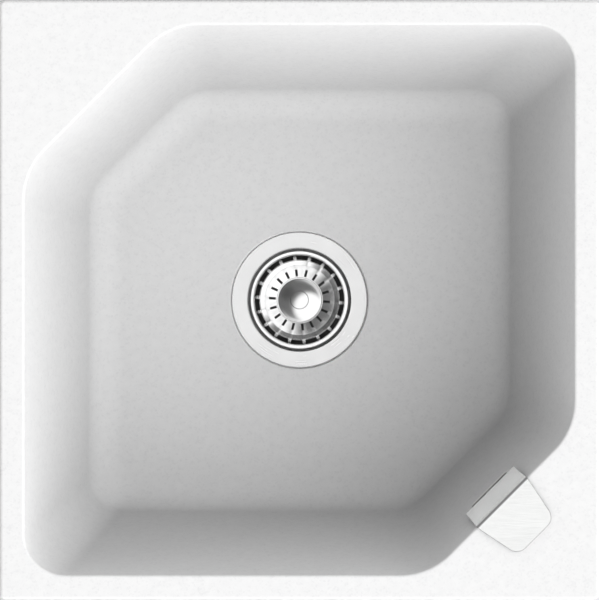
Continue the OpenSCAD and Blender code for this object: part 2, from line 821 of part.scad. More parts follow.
// The slots' angle in the photograph. The ribs between the windows stand in line with the slots
slot_phase = 16.3;
module strainer_basket() {
    rib_angle = atan(window_rib / (trough_r + roll_centre));
    window_low = z_trough + trough_bend + 0.6;
    window_high = z_roll - basket_roll_r - 0.3;
    slot_start = crown_r + 0.4;
    color("lightgray")
        difference() {
            rotate_extrude() basket_section();
            for (i = [0:window_count - 1])
                rotate([0, 0, slot_phase + (i + 0.5) * window_step])
                    translate([0, 0, window_low])
                        linear_extrude(window_high - window_low)
                            sector(trough_r - over, basket_r + over, window_step / 2 - rib_angle);
            for (i = [0:window_count - 1])
                rotate([0, 0, slot_phase + i * window_step])
                    translate([slot_start, -slot_w / 2, z_trough])
                        cube([slot_end_r - slot_start, slot_w, z_crown - z_trough + over]);
        }
}

// The knob in section: a dish with a flat edge, on a neck that stands on the basket's crown
knob_bevel = 0.5;
knob_edge_t = 1.6;
dish_step = 2;
flare_w = 3.5;
flare_h = 4;
neck_fillet = 1.5;
journal_roof = 1.5;
z_dish = z_knob - dish_depth;
journal_l = z_dish - journal_roof - z_crown - face_gap;
module basket_knob() {
    dish_out = knob_r - knob_edge;
    color("silver")
        difference() {
            rotate_extrude()
                polygon([
                    [0, z_dish], [dish_flat_r, z_dish],
                    [dish_out - dish_step, z_knob - dish_step / 2], [dish_out, z_knob],
                    [knob_r - knob_bevel, z_knob], [knob_r, z_knob - knob_bevel],
                    [knob_r, z_knob - knob_edge_t], [knob_r - flare_w, z_knob - flare_h],
                    [neck_r + knob_bevel, z_knob - flare_h - neck_fillet],
                    [neck_r, z_knob - flare_h - 2 * neck_fillet],
                    [neck_r, z_crown], [0, z_crown]
                ]);
            translate([0, 0, z_crown - over])
                cylinder(r = journal_r + run_gap, h = journal_l + face_gap + over);
        }
}

// The seal lies clear of the hollow screw's head, with its rim along the cup's seat
z_seal = z_cup + hollow_head_h + face_gap;
z_plate = z_seal + seal_t;
z_hub = z_crown - basket_t - face_gap;
function seat_radius(z) = cup_r - (z_seat - z) / tan(seat_angle) - face_gap / sin(seat_angle);

module basket_seal() {
    color("dimgray")
        difference() {
            translate([0, 0, z_seal])
                cylinder(r1 = seat_radius(z_seal), r2 = seat_radius(z_plate), h = seal_t);
            translate([0, 0, z_seal - over]) cylinder(r = stem_r + fit_gap, h = seal_t + 2 * over);
        }
}

module seal_plate() {
    color("silver") translate([0, 0, z_plate]) tube(seal_plate_r, stem_r + fit_gap, seal_plate_t);
}

z_stem_end = z_cup - stem_tail;
z_ring = z_stem_end + 3;
ring_depth = 1;
module basket_stem() {
    z_shoulder = z_plate + seal_plate_t;
    bevel = 1;
    z_bevel = z_stem_end + bevel;
    color("gainsboro")
        difference() {
            union() {
                translate([0, 0, z_stem_end]) cylinder(r1 = stem_r - bevel, r2 = stem_r, h = bevel);
                translate([0, 0, z_bevel]) cylinder(r = stem_r, h = z_shoulder - z_bevel);
                translate([0, 0, z_shoulder]) cylinder(r = hub_r, h = z_hub - z_shoulder);
                translate([0, 0, z_hub]) cylinder(r = journal_r, h = z_crown + journal_l - z_hub);
            }
            translate([0, 0, z_ring]) tube(stem_r + over, stem_r - ring_depth, stem_ring_t);
        }
}

module stem_ring() {
    color("dimgray")
        translate([0, 0, z_ring + fit_gap])
            tube(stem_r, stem_r - ring_depth + fit_gap, stem_ring_t - 2 * fit_gap);
}

// Overflow

// The cover's outline from above: band, fold, tapering tab and its two round corners
corner_turn = 78;
corner_turn_steps = 6;
module cover_outline() {
    corner_y = cover_tab_w / 2 - cover_corner_r * sin(corner_turn);
    corner_x = cover_tab - cover_corner_r;
    turns = [for (i = [0:corner_turn_steps]) corner_turn * i / corner_turn_steps];
    past_end = cover_end - 10;
    polygon([
        [past_end, -cover_low_w / 2], [cover_end, -cover_low_w / 2], [0, -cover_w / 2],
        for (i = [corner_turn_steps:-1:0])
            [corner_x + cover_corner_r * cos(turns[i]), -corner_y - cover_corner_r * sin(turns[i])],
        for (a = turns)
            [corner_x + cover_corner_r * cos(a), corner_y + cover_corner_r * sin(a)],
        [0, cover_w / 2], [cover_end, cover_low_w / 2], [past_end, cover_low_w / 2]
    ]);
}

// The cover in section, X outwards and Y up: a tab, a bend round the bowl's edge and a band
fold_in_r = bowl_edge_r + pad_t;
fold_x = bowl_edge_r * tan(45 - cut_lean / 2);
fold_z = z_top - bowl_edge_r;
fold_steps = 6;
fold_angles = [for (i = [0:fold_steps]) 90 + (90 - cover_lean) * i / fold_steps];
function on_fold(r, a) = [fold_x + r * cos(a), fold_z + r * sin(a)];
// The end of a band that leaves the bend at radius r
function band_end(r) =
    let (start = on_fold(r, 180 - cover_lean), fall = start.y - (z_top - cover_drop))
    [start.x - fall * tan(cover_lean), start.y - fall];
cover_end = band_end(fold_in_r + cover_t).x;
module cover_section() {
    outer = fold_in_r + cover_t;
    polygon([
        [cover_tab, fold_z + outer],
        for (a = fold_angles) on_fold(outer, a),
        band_end(outer),
        band_end(fold_in_r),
        for (i = [fold_steps:-1:0]) on_fold(fold_in_r, fold_angles[i]),
        [cover_tab, fold_z + fold_in_r]
    ]);
}

module overflow_cover() {
    color("silver")
        at_cut()
            intersection() {
                rotate([90, 0, 0])
                    translate([0, 0, -cover_w / 2]) linear_extrude(cover_w) cover_section();
                translate([0, 0, z_top - cover_drop - over])
                    linear_extrude(cover_drop + fold_in_r + cover_t + 2 * over) cover_outline();
            }
}

module cover_pad() {
    pad_start = 5;
    pad_end = cover_tab - cover_corner_r;
    side_end = cover_tab_w / 2 - 3;
    side_start = cover_tab_w / 2 - 1;
    color("dimgray")
        at_cut()
            translate([0, 0, z_top])
                linear_extrude(pad_t)
                    polygon([
                        [pad_start, -side_start], [pad_end, -side_end],
                        [pad_end, side_end], [pad_start, side_start]
                    ]);
}

// The overflow screw runs from the insert's bar to the nut in the head's post
insert_wall = 2;
insert_bar = 8;
insert_corner_r = 3;
overflow_nut_r = 4;
overflow_nut_l = 8;
screw_past = 10;
head_plate_t = 3;
head_face = wall_through + overflow_gasket_t;
plate_end = head_face + head_plate_t;
screw_reach = plate_end + screw_past;

module overflow_insert() {
    frame_w = overflow_w - 2 * face_gap;
    frame_h = overflow_h - 2 * face_gap;
    hole_r = overflow_screw_r + pass_gap / 2;
    sink_r = hole_r + overflow_screw_r;
    color("gainsboro")
        on_wall()
            difference() {
                union() {
                    plate_across(insert_w, insert_h, insert_corner_r, -insert_proud, 0);
                    slot(frame_w, frame_h, -fit_gap, wall_through);
                }
                difference() {
                    slot(
                        frame_w - 2 * insert_wall, frame_h - 2 * insert_wall,
                        -insert_proud - over, wall_through + over
                    );
                    translate([-insert_proud - 2 * over, -insert_bar / 2, -overflow_h])
                        cube([wall_through + insert_proud + 4 * over, insert_bar, 2 * overflow_h]);
                }
                rod(hole_r, -insert_proud - over, wall_through + over);
                translate([-insert_proud, 0, 0])
                    rotate([0, 90, 0]) {
                        cylinder(r1 = sink_r, r2 = hole_r, h = overflow_screw_r);
                        translate([0, 0, -over]) cylinder(r = sink_r, h = over);
                    }
            }
}

module overflow_screw() {
    driver_slot = 0.8;
    end_back = 1;
    head_r = 2 * overflow_screw_r;
    color("silver")
        on_wall()
            difference() {
                union() {
                    translate([-insert_proud, 0, 0])
                        rotate([0, 90, 0]) cylinder(r1 = head_r, r2 = overflow_screw_r, h = overflow_screw_r);
                    rod(overflow_screw_r, -insert_proud, screw_reach - end_back);
                }
                translate([-insert_proud - over, -head_r, -driver_slot / 2])
                    cube([over + driver_slot, 2 * head_r, driver_slot]);
            }
}

module overflow_nut() {
    color("goldenrod")
        on_wall()
            translate([screw_reach - overflow_nut_l, 0, 0])
                rotate([0, 90, 0]) tube(overflow_nut_r, overflow_screw_r + fit_gap, overflow_nut_l);
}

gasket_back = 1;
head_corner_r = 5;
module overflow_gasket() {
    color("dimgray")
        on_wall()
            difference() {
                plate_across(
                    head_w - 2 * gasket_back, head_h - 2 * gasket_back, head_corner_r - gasket_back,
                    wall_through, head_face
                );
                slot(overflow_w, overflow_h, wall_through - over, head_face + over);
            }
}

// The head's chamber is this much wider and higher inside than the opening in the wall
chamber_more_w = 2;
chamber_more_h = 6;
chamber_r = 4;
chamber_w = overflow_w + 2 * head_t + chamber_more_w;
chamber_h = overflow_h + 2 * head_t + chamber_more_h;
head_end = plate_end + head_depth;
module head_chamber(shrink, x0, x1) {
    plate_across(chamber_w - 2 * shrink, chamber_h - 2 * shrink, chamber_r - shrink, x0, x1);
}

module overflow_head() {
    spigot_top = z_overflow - 10;
    spigot_l = spigot_top + spigot_drop;
    mouth_w = overflow_w - 2;
    mouth_h = overflow_h - 2;
    color("gainsboro")
        difference() {
            union() {
                on_wall() {
                    plate_across(head_w, head_h, head_corner_r, head_face, plate_end);
                    head_chamber(0, head_face, head_end);
                }
                at_cut()
                    translate([spigot_out, 0, spigot_top])
                        mirror([0, 0, 1]) {
                            cylinder(r = hose_end_r, h = spigot_l);
                            collar(spigot_l);
                        }
            }
            // The space inside, less the post for the nut and the web that carries it
            difference() {
                union() {
                    on_wall() {
                        head_chamber(head_t, plate_end, head_end - head_t);
                        slot(mouth_w, mouth_h, head_face - over, plate_end + over);
                    }
                    at_cut()
                        translate([spigot_out, 0, -spigot_drop - over])
                            cylinder(r = hose_bore_r, h = spigot_l + over);
                }
                on_wall() {
                    rod(overflow_nut_r + head_t, head_face - 2 * over, screw_reach + head_t);
                    translate([head_face - 2 * over, -head_t / 2, -chamber_h / 2])
                        cube([screw_reach - head_face + 2 * over, head_t, chamber_h]);
                }
            }
            on_wall() {
                rod(overflow_screw_r + pass_gap, head_face - over, screw_reach);
                rod(overflow_nut_r + fit_gap, screw_reach - overflow_nut_l, screw_reach + fit_gap);
            }
        }
}

// The hose: down from the head, round one bend and in to the waste body, all in one plane.
// Along it, s is the distance from its upper end.
drop_l = -spigot_drop - (z_hose + hose_bend_r);
bend_l = hose_bend_r * PI / 2;
run_l = hose_outer - hose_bend_r - hose_inner;
hose_l = drop_l + bend_l + run_l;

// The point at s, as distance from the drain and height, with the angle that the hose has turned
function route(s) =
    s <= drop_l ? [hose_outer, -spigot_drop - s, 0]
    : s >= drop_l + bend_l ? [hose_outer - hose_bend_r - (s - drop_l - bend_l), z_hose, 90]
    : let (a = (s - drop_l) / hose_bend_r * 180 / PI)
      [hose_outer - hose_bend_r * (1 - cos(a)), z_hose + hose_bend_r * (1 - sin(a)), a];

hose_sides = 8;
// A ring of points round the hose at s, with radius r
function hose_ring(s, r) =
    let (p = route(s))
    [
        for (k = [0:hose_sides - 1])
            let (b = (k + 0.5) * 360 / hose_sides, across = r * cos(b), side = r * sin(b))
            [p[0] + across * cos(p[2]), side, p[1] - across * sin(p[2])]
    ];

// Ribs fill the length between the plain ends. Each has its crest and its foot at these shares of a step
rib_count = floor((hose_l - 2 * hose_end_l) / hose_pitch);
rib_step = (hose_l - 2 * hose_end_l) / rib_count;
rib_crest = 0.3;
rib_foot = 0.8;
bore_steps = 12;
hose_rings = [
    hose_ring(0, hose_end_r),
    hose_ring(hose_end_l - (1 - rib_foot) * rib_step, hose_end_r),
    for (i = [0:rib_count - 1])
        each [
            hose_ring(hose_end_l + (i + rib_crest) * rib_step, hose_r),
            hose_ring(hose_end_l + (i + rib_foot) * rib_step, hose_end_r)
        ],
    hose_ring(hose_l, hose_end_r),
    hose_ring(hose_l, hose_bore_r),
    for (i = [bore_steps:-1:0]) hose_ring(drop_l + bend_l * i / bore_steps, hose_bore_r),
    hose_ring(0, hose_bore_r)
];

// A skin over rings whose last ring joins the first
module ring_skin(rings) {
    n = len(rings[0]);
    m = len(rings);
    polyhedron(
        points = [for (ring = rings) each ring],
        faces = [
            for (k = [0:m - 1], i = [0:n - 1])
                let (j = (k + 1) % m, h = (i + 1) % n)
                each [[k * n + i, j * n + h, k * n + h], [k * n + i, j * n + i, j * n + h]]
        ]
    );
}

module overflow_hose() {
    color("white") in_hose_plane() ring_skin(hose_rings);
}

// A nut whose thread end takes the spigot's collar and whose other end runs on the hose
nut_wall_l = 8;
module hose_nut() {
    flutes = 12;
    flute_r = 1.6;
    flute_out = 0.6;
    foot_l = 2;
    color("whitesmoke")
        difference() {
            cylinder(r = hose_nut_r, h = hose_nut_l);
            translate([0, 0, -over]) cylinder(r = collar_r + run_gap, h = hose_nut_l - nut_wall_l + over);
            translate([0, 0, -over]) cylinder(r = hose_end_r + pass_gap, h = hose_nut_l + 2 * over);
            for (i = [0:flutes - 1])
                rotate([0, 0, i * 360 / flutes])
                    translate([hose_nut_r + flute_out, 0, -over])
                        cylinder(r = flute_r, h = hose_nut_l - foot_l + over);
        }
}

// The seal fills the space from the joint up to the nut's step
seal_ring_l = 5;
seal_ring_gap = 0.1;
module hose_seal() {
    color("dimgray") tube(collar_r - seal_ring_gap, hose_end_r + seal_ring_gap, seal_ring_l);
}

// Places on the hose, each measured along it past the joint with its spigot
nut_start = hose_nut_l - nut_wall_l - seal_ring_l - face_gap;
module at_hose_top(past) {
    in_hose_plane() translate([hose_outer, 0, -spigot_drop - past]) mirror([0, 0, 1]) children();
}
module at_hose_bottom(past) {
    in_hose_plane() translate([hose_inner + past, 0, z_hose]) rotate([0, 90, 0]) children();
}

module hose_nut_top() at_hose_top(-nut_start) hose_nut();
module hose_nut_bottom() at_hose_bottom(-nut_start) hose_nut();
module hose_seal_top() at_hose_top(face_gap / 2) hose_seal();
module hose_seal_bottom() at_hose_bottom(face_gap / 2) hose_seal();

// Clamps, shown with their screws home and their jaws turned in along the wall

z_jaw = -boss_h - jaw_gap - jaw_t;
module clamp_screw() {
    driver_slot = 1.2;
    slot_depth = 1.5;
    z_head = z_jaw - washer_t - screw_head_h;
    color("silver")
        difference() {
            union() {
                translate([0, 0, z_head]) cylinder(r = screw_head_r, h = screw_head_h);
                translate([0, 0, z_head]) cylinder(r = screw_r, h = screw_head_h + screw_l);
            }
            translate([-screw_head_r - over, -driver_slot / 2, z_head - over])
                cube([2 * (screw_head_r + over), driver_slot, slot_depth + over]);
        }
}

module clamp_washer() {
    color("silver") translate([0, 0, z_jaw - washer_t]) tube(washer_r, screw_r + run_gap, washer_t);
}

// A jaw: an eye round the screw, an arm, an upturned end with teeth and a web between arm and end
module clamp_jaw() {
    tip_t = 3;
    tooth_h = 2;
    web_t = 2.5;
    web_start = eye_r + 3;
    web_root = 0.5;
    arm_low = eye_r - jaw_w;
    tooth = jaw_w / jaw_teeth;
    tooth_foot = jaw_h - tooth_h;
    web_top = tooth_foot - 1;
    color("darkgray")
        difference() {
            union() {
                translate([0, 0, z_jaw]) cylinder(r = eye_r, h = jaw_t);
                translate([0, arm_low, z_jaw]) cube([jaw_l, jaw_w, jaw_t]);
                translate([jaw_l - tip_t, arm_low, z_jaw])
                    rotate([90, 0, 90])
                        linear_extrude(tip_t)
                            polygon([
                                [0, 0],
                                [jaw_w, 0],
                                for (i = [jaw_teeth:-1:1])
                                    each [[i * tooth, tooth_foot], [(i - 0.5) * tooth, jaw_h]],
                                [0, tooth_foot]
                            ]);
                translate([0, arm_low + (jaw_w + web_t) / 2, z_jaw])
                    rotate([90, 0, 0])
                        linear_extrude(web_t)
                            polygon([
                                [web_start, jaw_t - web_root], [jaw_l - tip_t / 2, jaw_t - web_root],
                                [jaw_l - tip_t / 2, web_top], [jaw_l - tip_t, web_top]
                            ]);
            }
            translate([0, 0, z_jaw - over]) cylinder(r = screw_r + run_gap, h = jaw_t + 2 * over);
        }
}

module clamp_back_screw() at_clamp(clamp_back) clamp_screw();
module clamp_back_washer() at_clamp(clamp_back) clamp_washer();
module clamp_back_jaw() at_clamp(clamp_back) clamp_jaw();
module clamp_left_screw() at_clamp(clamp_left) clamp_screw();
module clamp_left_washer() at_clamp(clamp_left) clamp_washer();
module clamp_left_jaw() at_clamp(clamp_left) clamp_jaw();
module clamp_front_screw() at_clamp(clamp_front) clamp_screw();
module clamp_front_washer() at_clamp(clamp_front) clamp_washer();
module clamp_front_jaw() at_clamp(clamp_front) clamp_jaw();
module clamp_right_screw() at_clamp(clamp_right) clamp_screw();
module clamp_right_washer() at_clamp(clamp_right) clamp_washer();
module clamp_right_jaw() at_clamp(clamp_right) clamp_jaw();

sink_bowl();
rim_seal();
clamp_inserts();
flange_gasket();
waste_cup();
body_gasket();
waste_body();
waste_funnel();
waste_tail();
waste_screw();
waste_nut();
strainer_basket();
basket_knob();
basket_stem();
basket_seal();
seal_plate();
stem_ring();
overflow_cover();
cover_pad();
overflow_insert();
overflow_screw();
overflow_nut();
overflow_gasket();
overflow_head();
overflow_hose();
hose_nut_top();
hose_nut_bottom();
hose_seal_top();
hose_seal_bottom();
clamp_back_screw();
clamp_back_washer();
clamp_back_jaw();
clamp_left_screw();
clamp_left_washer();
clamp_left_jaw();
clamp_front_screw();
clamp_front_washer();
clamp_front_jaw();
clamp_right_screw();
clamp_right_washer();
clamp_right_jaw();
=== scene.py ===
"""The looks of a drop-in composite kitchen sink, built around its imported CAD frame."""
import json
import logging
import math
from collections.abc import Callable, Iterable, Sequence
from dataclasses import dataclass
from enum import Enum

import bpy
from mathutils import Matrix, Vector


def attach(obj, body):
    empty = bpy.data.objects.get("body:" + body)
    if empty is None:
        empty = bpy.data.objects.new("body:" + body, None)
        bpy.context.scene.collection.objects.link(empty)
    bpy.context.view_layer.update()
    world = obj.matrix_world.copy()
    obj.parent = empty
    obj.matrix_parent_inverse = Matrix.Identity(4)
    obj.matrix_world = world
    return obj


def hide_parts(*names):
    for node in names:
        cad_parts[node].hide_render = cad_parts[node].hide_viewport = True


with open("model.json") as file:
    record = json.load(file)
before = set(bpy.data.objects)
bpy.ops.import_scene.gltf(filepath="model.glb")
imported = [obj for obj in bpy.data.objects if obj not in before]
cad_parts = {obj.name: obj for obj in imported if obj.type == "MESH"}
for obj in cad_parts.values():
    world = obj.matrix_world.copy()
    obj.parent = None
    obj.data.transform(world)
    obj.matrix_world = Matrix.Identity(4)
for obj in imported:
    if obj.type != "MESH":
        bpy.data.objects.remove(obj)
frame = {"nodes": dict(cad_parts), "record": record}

log = logging.getLogger("sink")
logging.basicConfig(level=logging.INFO, format="%(name)s: %(message)s")

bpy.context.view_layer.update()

Pair = tuple[float, float]
Triple = tuple[float, float, float]
Ring = list[Triple]
Piece = bpy.types.Object
Node = bpy.types.Node
Socket = bpy.types.NodeSocket
Tree = bpy.types.NodeTree

# Pieces are modelled in millimetres and finished in metres
METRES = 0.001
# The gap that keeps the touching faces of two pieces apart
HAIR = 0.03
# Points nearer to one another than this are merged
DOUBLES = 1e-4
# The direction of the overflow and its hose from the drain, in degrees from the X axis
HOSE_AZIMUTH = -45.0
# Turns what was drawn flat so that its Y stands up
UPRIGHT = Matrix.Rotation(math.pi / 2, 4, "X")
# Turns what was drawn flat so that its X runs along Y and its height along X
ACROSS = Matrix.Rotation(math.pi / 2, 4, "Z") @ UPRIGHT
# Lays what stands on Z along X
LYING = Matrix.Rotation(math.pi / 2, 4, "Y")


class Slot(Enum):
    """The record's material slots."""

    COMPOSITE = "composite"
    SATIN_STEEL = "satin_steel"
    KNOB_STEEL = "knob_steel"
    PLATED_STEM = "plated_stem"
    SCREW_STEEL = "screw_steel"
    ZINC_STEEL = "zinc_steel"
    BRASS = "brass"
    RUBBER = "rubber"
    WHITE_PLASTIC = "white_plastic"
    HOSE_PLASTIC = "hose_plastic"


# Plane geometry


def arc(centre: Pair, radius: float, start: float, end: float, steps: int) -> list[Pair]:
    """Points on an arc, both ends among them, with its angles in degrees."""
    angles = [math.radians(start + (end - start) * i / steps) for i in range(steps + 1)]
    return [(centre[0] + radius * math.cos(a), centre[1] + radius * math.sin(a)) for a in angles]


def hexagon(radius: float) -> list[Pair]:
    """A hexagon's corners."""
    return arc((0, 0), radius, 0, 300, 5)


def rounded(corners: Sequence[tuple[float, ...]], steps: int = 4, closed: bool = True) -> list[Pair]:
    """A polygon with its corners rounded.

    Args:
        corners: Each corner as x, y and, where it is round, its radius.
        steps: Steps along each arc.
        closed: Whether the polygon is closed. The ends of an open one stay sharp.

    Returns:
        The outline's points.
    """
    points: list[Pair] = []
    count = len(corners)
    for i, corner in enumerate(corners):
        here = Vector(corner[:2])
        radius = corner[2] if len(corner) > 2 else 0.0
        if radius <= 0 or (not closed and i in (0, count - 1)):
            points.append((here.x, here.y))
            continue
        back = (Vector(corners[i - 1][:2]) - here).normalized()
        ahead = (Vector(corners[(i + 1) % count][:2]) - here).normalized()
        half = math.acos(max(-1.0, min(1.0, back.dot(ahead)))) / 2
        centre = here + (back + ahead).normalized() * (radius / math.sin(half))
        first = here + back * (radius / math.tan(half)) - centre
        last = here + ahead * (radius / math.tan(half)) - centre
        turn = first.angle_signed(last)
        for k in range(steps + 1):
            spoke = first.copy()
            spoke.rotate(Matrix.Rotation(-turn * k / steps, 2))
            points.append((centre.x + spoke.x, centre.y + spoke.y))
    return points


def sector(inner: float, outer: float, bar: float, width: float, steps: int = 12) -> list[Pair]:
    """The outline of an opening about the X axis, between spokes that stand width degrees apart."""
    far, near = (width / 2 - math.degrees(math.asin(bar / 2 / r)) for r in (outer, inner))
    return [*arc((0, 0), outer, -far, far, steps), *arc((0, 0), inner, near, -near, steps)]


def turned(degrees: float) -> Matrix:
    """A turn about the Z axis."""
    return Matrix.Rotation(math.radians(degrees), 4, "Z")


class Bench:
    """The workbench: operators and modifiers that shape each piece."""

    @staticmethod
    def clear() -> None:
        """Leaves edit mode and deselects everything."""
        if bpy.context.object and bpy.context.object.mode != "OBJECT":
            bpy.ops.object.mode_set(mode="OBJECT")
        bpy.ops.object.select_all(action="DESELECT")

    @classmethod
    def take(cls, piece: Piece, edit: bool = False) -> None:
        """Makes a piece the only one selected.

        Args:
            piece: The piece.
            edit: Whether it is opened in edit mode.
        """
        cls.clear()
        piece.select_set(True)
        bpy.context.view_layer.objects.active = piece
        if edit:
            bpy.ops.object.mode_set(mode="EDIT")

    @staticmethod
    def named(name: str) -> Piece:
        """Names the object that was just added, and its mesh.

        Args:
            name: The name.

        Returns:
            The object.
        """
        piece = bpy.context.object
        piece.name = name
        piece.data.name = name
        return piece

    @classmethod
    def line(cls, name: str, points: Iterable[Sequence[float]]) -> Piece:
        """Draws a line of vertices, each extruded from the one before, and stays in edit mode.

        Args:
            name: The piece's name.
            points: The line's points, x, y and z.

        Returns:
            The piece, with its whole line selected.
        """
        cls.clear()
        path = [Vector(p) for p in points]
        bpy.ops.mesh.primitive_plane_add(size=1, location=(0, 0, 0))
        piece = cls.named(name)
        bpy.ops.object.mode_set(mode="EDIT")
        bpy.ops.mesh.select_all(action="SELECT")
        bpy.ops.mesh.merge(type="CENTER")
        bpy.ops.transform.translate(value=path[0])
        for here, there in zip(path, path[1:]):
            bpy.ops.mesh.extrude_vertices_move(TRANSFORM_OT_translate={"value": there - here})
        bpy.ops.mesh.select_all(action="SELECT")
        return piece

    @classmethod
    def close(cls) -> None:
        """Merges doubles, turns faces outwards and leaves edit mode."""
        bpy.ops.mesh.select_all(action="SELECT")
        bpy.ops.mesh.remove_doubles(threshold=DOUBLES)
        bpy.ops.mesh.normals_make_consistent(inside=False)
        cls.clear()

    @classmethod
    def lathe(cls, name: str, section: Sequence[Pair], steps: int = 96) -> Piece:
        """Spins a section round the Z axis.

        Args:
            name: The piece's name.
            section: Radius and height of each point of the closed section.
            steps: Steps of the full turn.

        Returns:
            The turned piece.
        """
        loop = [(r, 0.0, z) for r, z in section]
        if loop[0][0] > 0 or loop[-1][0] > 0:
            loop.append(loop[0])
        piece = cls.line(name, loop)
        bpy.ops.mesh.spin(steps=steps, angle=math.tau, center=(0, 0, 0), axis=(0, 0, 1))
        cls.close()
        return piece

    @classmethod
    def prism(cls, name: str, outline: Sequence[Pair], low: float, high: float) -> Piece:
        """Fills an outline and extrudes it upwards.

        Args:
            name: The piece's name.
            outline: The outline's points.
            low: The height of its lower face.
            high: The height of its upper face.

        Returns:
            The prism.
        """
        loop = [(x, y, low) for x, y in outline]
        piece = cls.line(name, [*loop, loop[0]])
        bpy.ops.mesh.remove_doubles(threshold=DOUBLES)
        bpy.ops.mesh.edge_face_add()
        bpy.ops.mesh.extrude_region_move(TRANSFORM_OT_translate={"value": (0, 0, high - low)})
        cls.close()
        return piece

    @classmethod
    def slot(cls, name: str, width: float, height: float, start: float, end: float) -> Piece:
        """A prism with round ends that runs along X.

        Args:
            name: The piece's name.
            width: Its size along Y.
            height: Its size along Z.
            start: Where it starts on X.
            end: Where it ends on X.

        Returns:
            The prism, in the frame that its sizes are in.
        """
        r = height / 2
        outline = [*arc((width / 2 - r, 0), r, -90, 90, 16), *arc((r - width / 2, 0), r, 90, 270, 16)]
        return cls.place(cls.prism(name, outline, start, end), ACROSS)

    @classmethod
    def plate(cls, name: str, size: Triple, start: float, end: float) -> Piece:
        """A plate with round corners that stands across X.

        Args:
            name: The piece's name.
            size: Its width, its height and the radius of its corners.
            start: Where it starts on X.
            end: Where it ends on X.

        Returns:
            The plate, in the frame that its sizes are in.
        """
        w, h, r = size[0] / 2, size[1] / 2, size[2]
        outline = rounded([(-w, -h, r), (w, -h, r), (w, h, r), (-w, h, r)], 6)
        return cls.place(cls.prism(name, outline, start, end), ACROSS)

    @classmethod
    def loft(cls, name: str, rings: Sequence[Ring], joined: bool = True, caps: bool = False) -> Piece:
        """Skins rings that have the same number of points.

        Args:
            name: The piece's name.
            rings: The rings, in order.
            joined: Whether the last ring meets the first.
            caps: Whether a face shuts each end.

        Returns:
            The skinned piece.
        """
        mesh = bpy.data.meshes.new(name)
        count = len(rings[0])
        total = len(rings)
        faces: list[tuple[int, ...]] = []
        for k in range(total if joined else total - 1):
            a, b = k * count, (k + 1) % total * count
            faces += [(a + i, a + (i + 1) % count, b + (i + 1) % count, b + i) for i in range(count)]
        if caps:
            faces += [tuple(range(count - 1, -1, -1)), tuple(range((total - 1) * count, total * count))]
        mesh.from_pydata([p for ring in rings for p in ring], [], faces)
        piece = bpy.data.objects.new(name, mesh)
        bpy.context.scene.collection.objects.link(piece)
        cls.take(piece, edit=True)
        cls.close()
        return piece

    @classmethod
    def rod(cls, name: str, radius: float, start: Triple, end: Triple, sides: int = 48) -> Piece:
        """A round rod between two points, used to cut holes or to be joined on.

        Args:
            name: The piece's name.
            radius: Its radius.
            start: The middle of its first end.
            end: The middle of its other end.
            sides: Its number of sides.

        Returns:
            The rod.
        """
        cls.clear()
        a, b = Vector(start), Vector(end)
        turn = (b - a).to_track_quat("Z", "Y").to_euler()
        bpy.ops.mesh.primitive_cylinder_add(
            vertices=sides, radius=radius, depth=(b - a).length, location=(a + b) / 2, rotation=turn
        )
        return cls.settle(cls.named(name))

    @classmethod
    def block(cls, name: str, low: Triple, high: Triple) -> Piece:
        """A block, used to cut or to be joined on.

        Args:
            name: The piece's name.
            low: Its lowest corner.
            high: Its highest corner.

        Returns:
            The block.
        """
        cls.clear()
        a, b = Vector(low), Vector(high)
        bpy.ops.mesh.primitive_cube_add(size=1, location=(a + b) / 2, scale=b - a)
        return cls.settle(cls.named(name))

    @classmethod
    def settle(cls, piece: Piece) -> Piece:
        """Applies a piece's place, turn and scale to its mesh.

        Args:
            piece: The piece.

        Returns:
            The same piece.
        """
        cls.take(piece)
        bpy.ops.object.transform_apply(location=True, rotation=True, scale=True)
        return piece

    @classmethod
    def place(cls, piece: Piece, frame_of_piece: Matrix) -> Piece:
        """Moves a piece, modelled about its own origin, to where that origin and its axes lie."""
        piece.matrix_world = frame_of_piece
        return cls.settle(piece)

    @classmethod
    def copied(cls, piece: Piece, name: str, frame_of_copy: Matrix) -> Piece:
        """A copy of a piece in another place.

        Args:
            piece: The piece.
            name: The copy's name.
            frame_of_copy: Where the copy's origin and its axes lie.

        Returns:
            The copy, with its own mesh.
        """
        twin = piece.copy()
        twin.data = piece.data.copy()
        twin.name = twin.data.name = name
        bpy.context.scene.collection.objects.link(twin)
        return cls.place(twin, frame_of_copy)

    @classmethod
    def copies(cls, model: Piece, places: Iterable[Matrix]) -> list[Piece]:
        """Copies a model to several places and removes it.

        Args:
            model: The piece to copy.
            places: The places.

        Returns:
            The copies.
        """
        made = [cls.copied(model, f"{model.name}_{i}", place) for i, place in enumerate(places)]
        bpy.data.objects.remove(model)
        return made

    @classmethod
    def gather(cls, name: str, pieces: Sequence[Piece]) -> Piece:
        """Joins copies that lie apart into one piece.

        Args:
            name: The name of the whole.
            pieces: The copies.

        Returns:
            The whole.
        """
        cls.take(pieces[0])
        for piece in pieces:
            piece.select_set(True)
        bpy.ops.object.join()
        return cls.named(name)

    @classmethod
    def modify(cls, piece: Piece, kind: str, **settings: object) -> Piece:
        """Adds one modifier and applies it.

        Args:
            piece: The piece to shape.
            kind: The modifier's type.
            settings: Its settings.

        Returns:
            The same piece.
        """
        cls.take(piece)
        modifier = piece.modifiers.new(kind.title(), kind)
        for key, value in settings.items():
            setattr(modifier, key, value)
        bpy.ops.object.modifier_apply(modifier=modifier.name)
        return piece

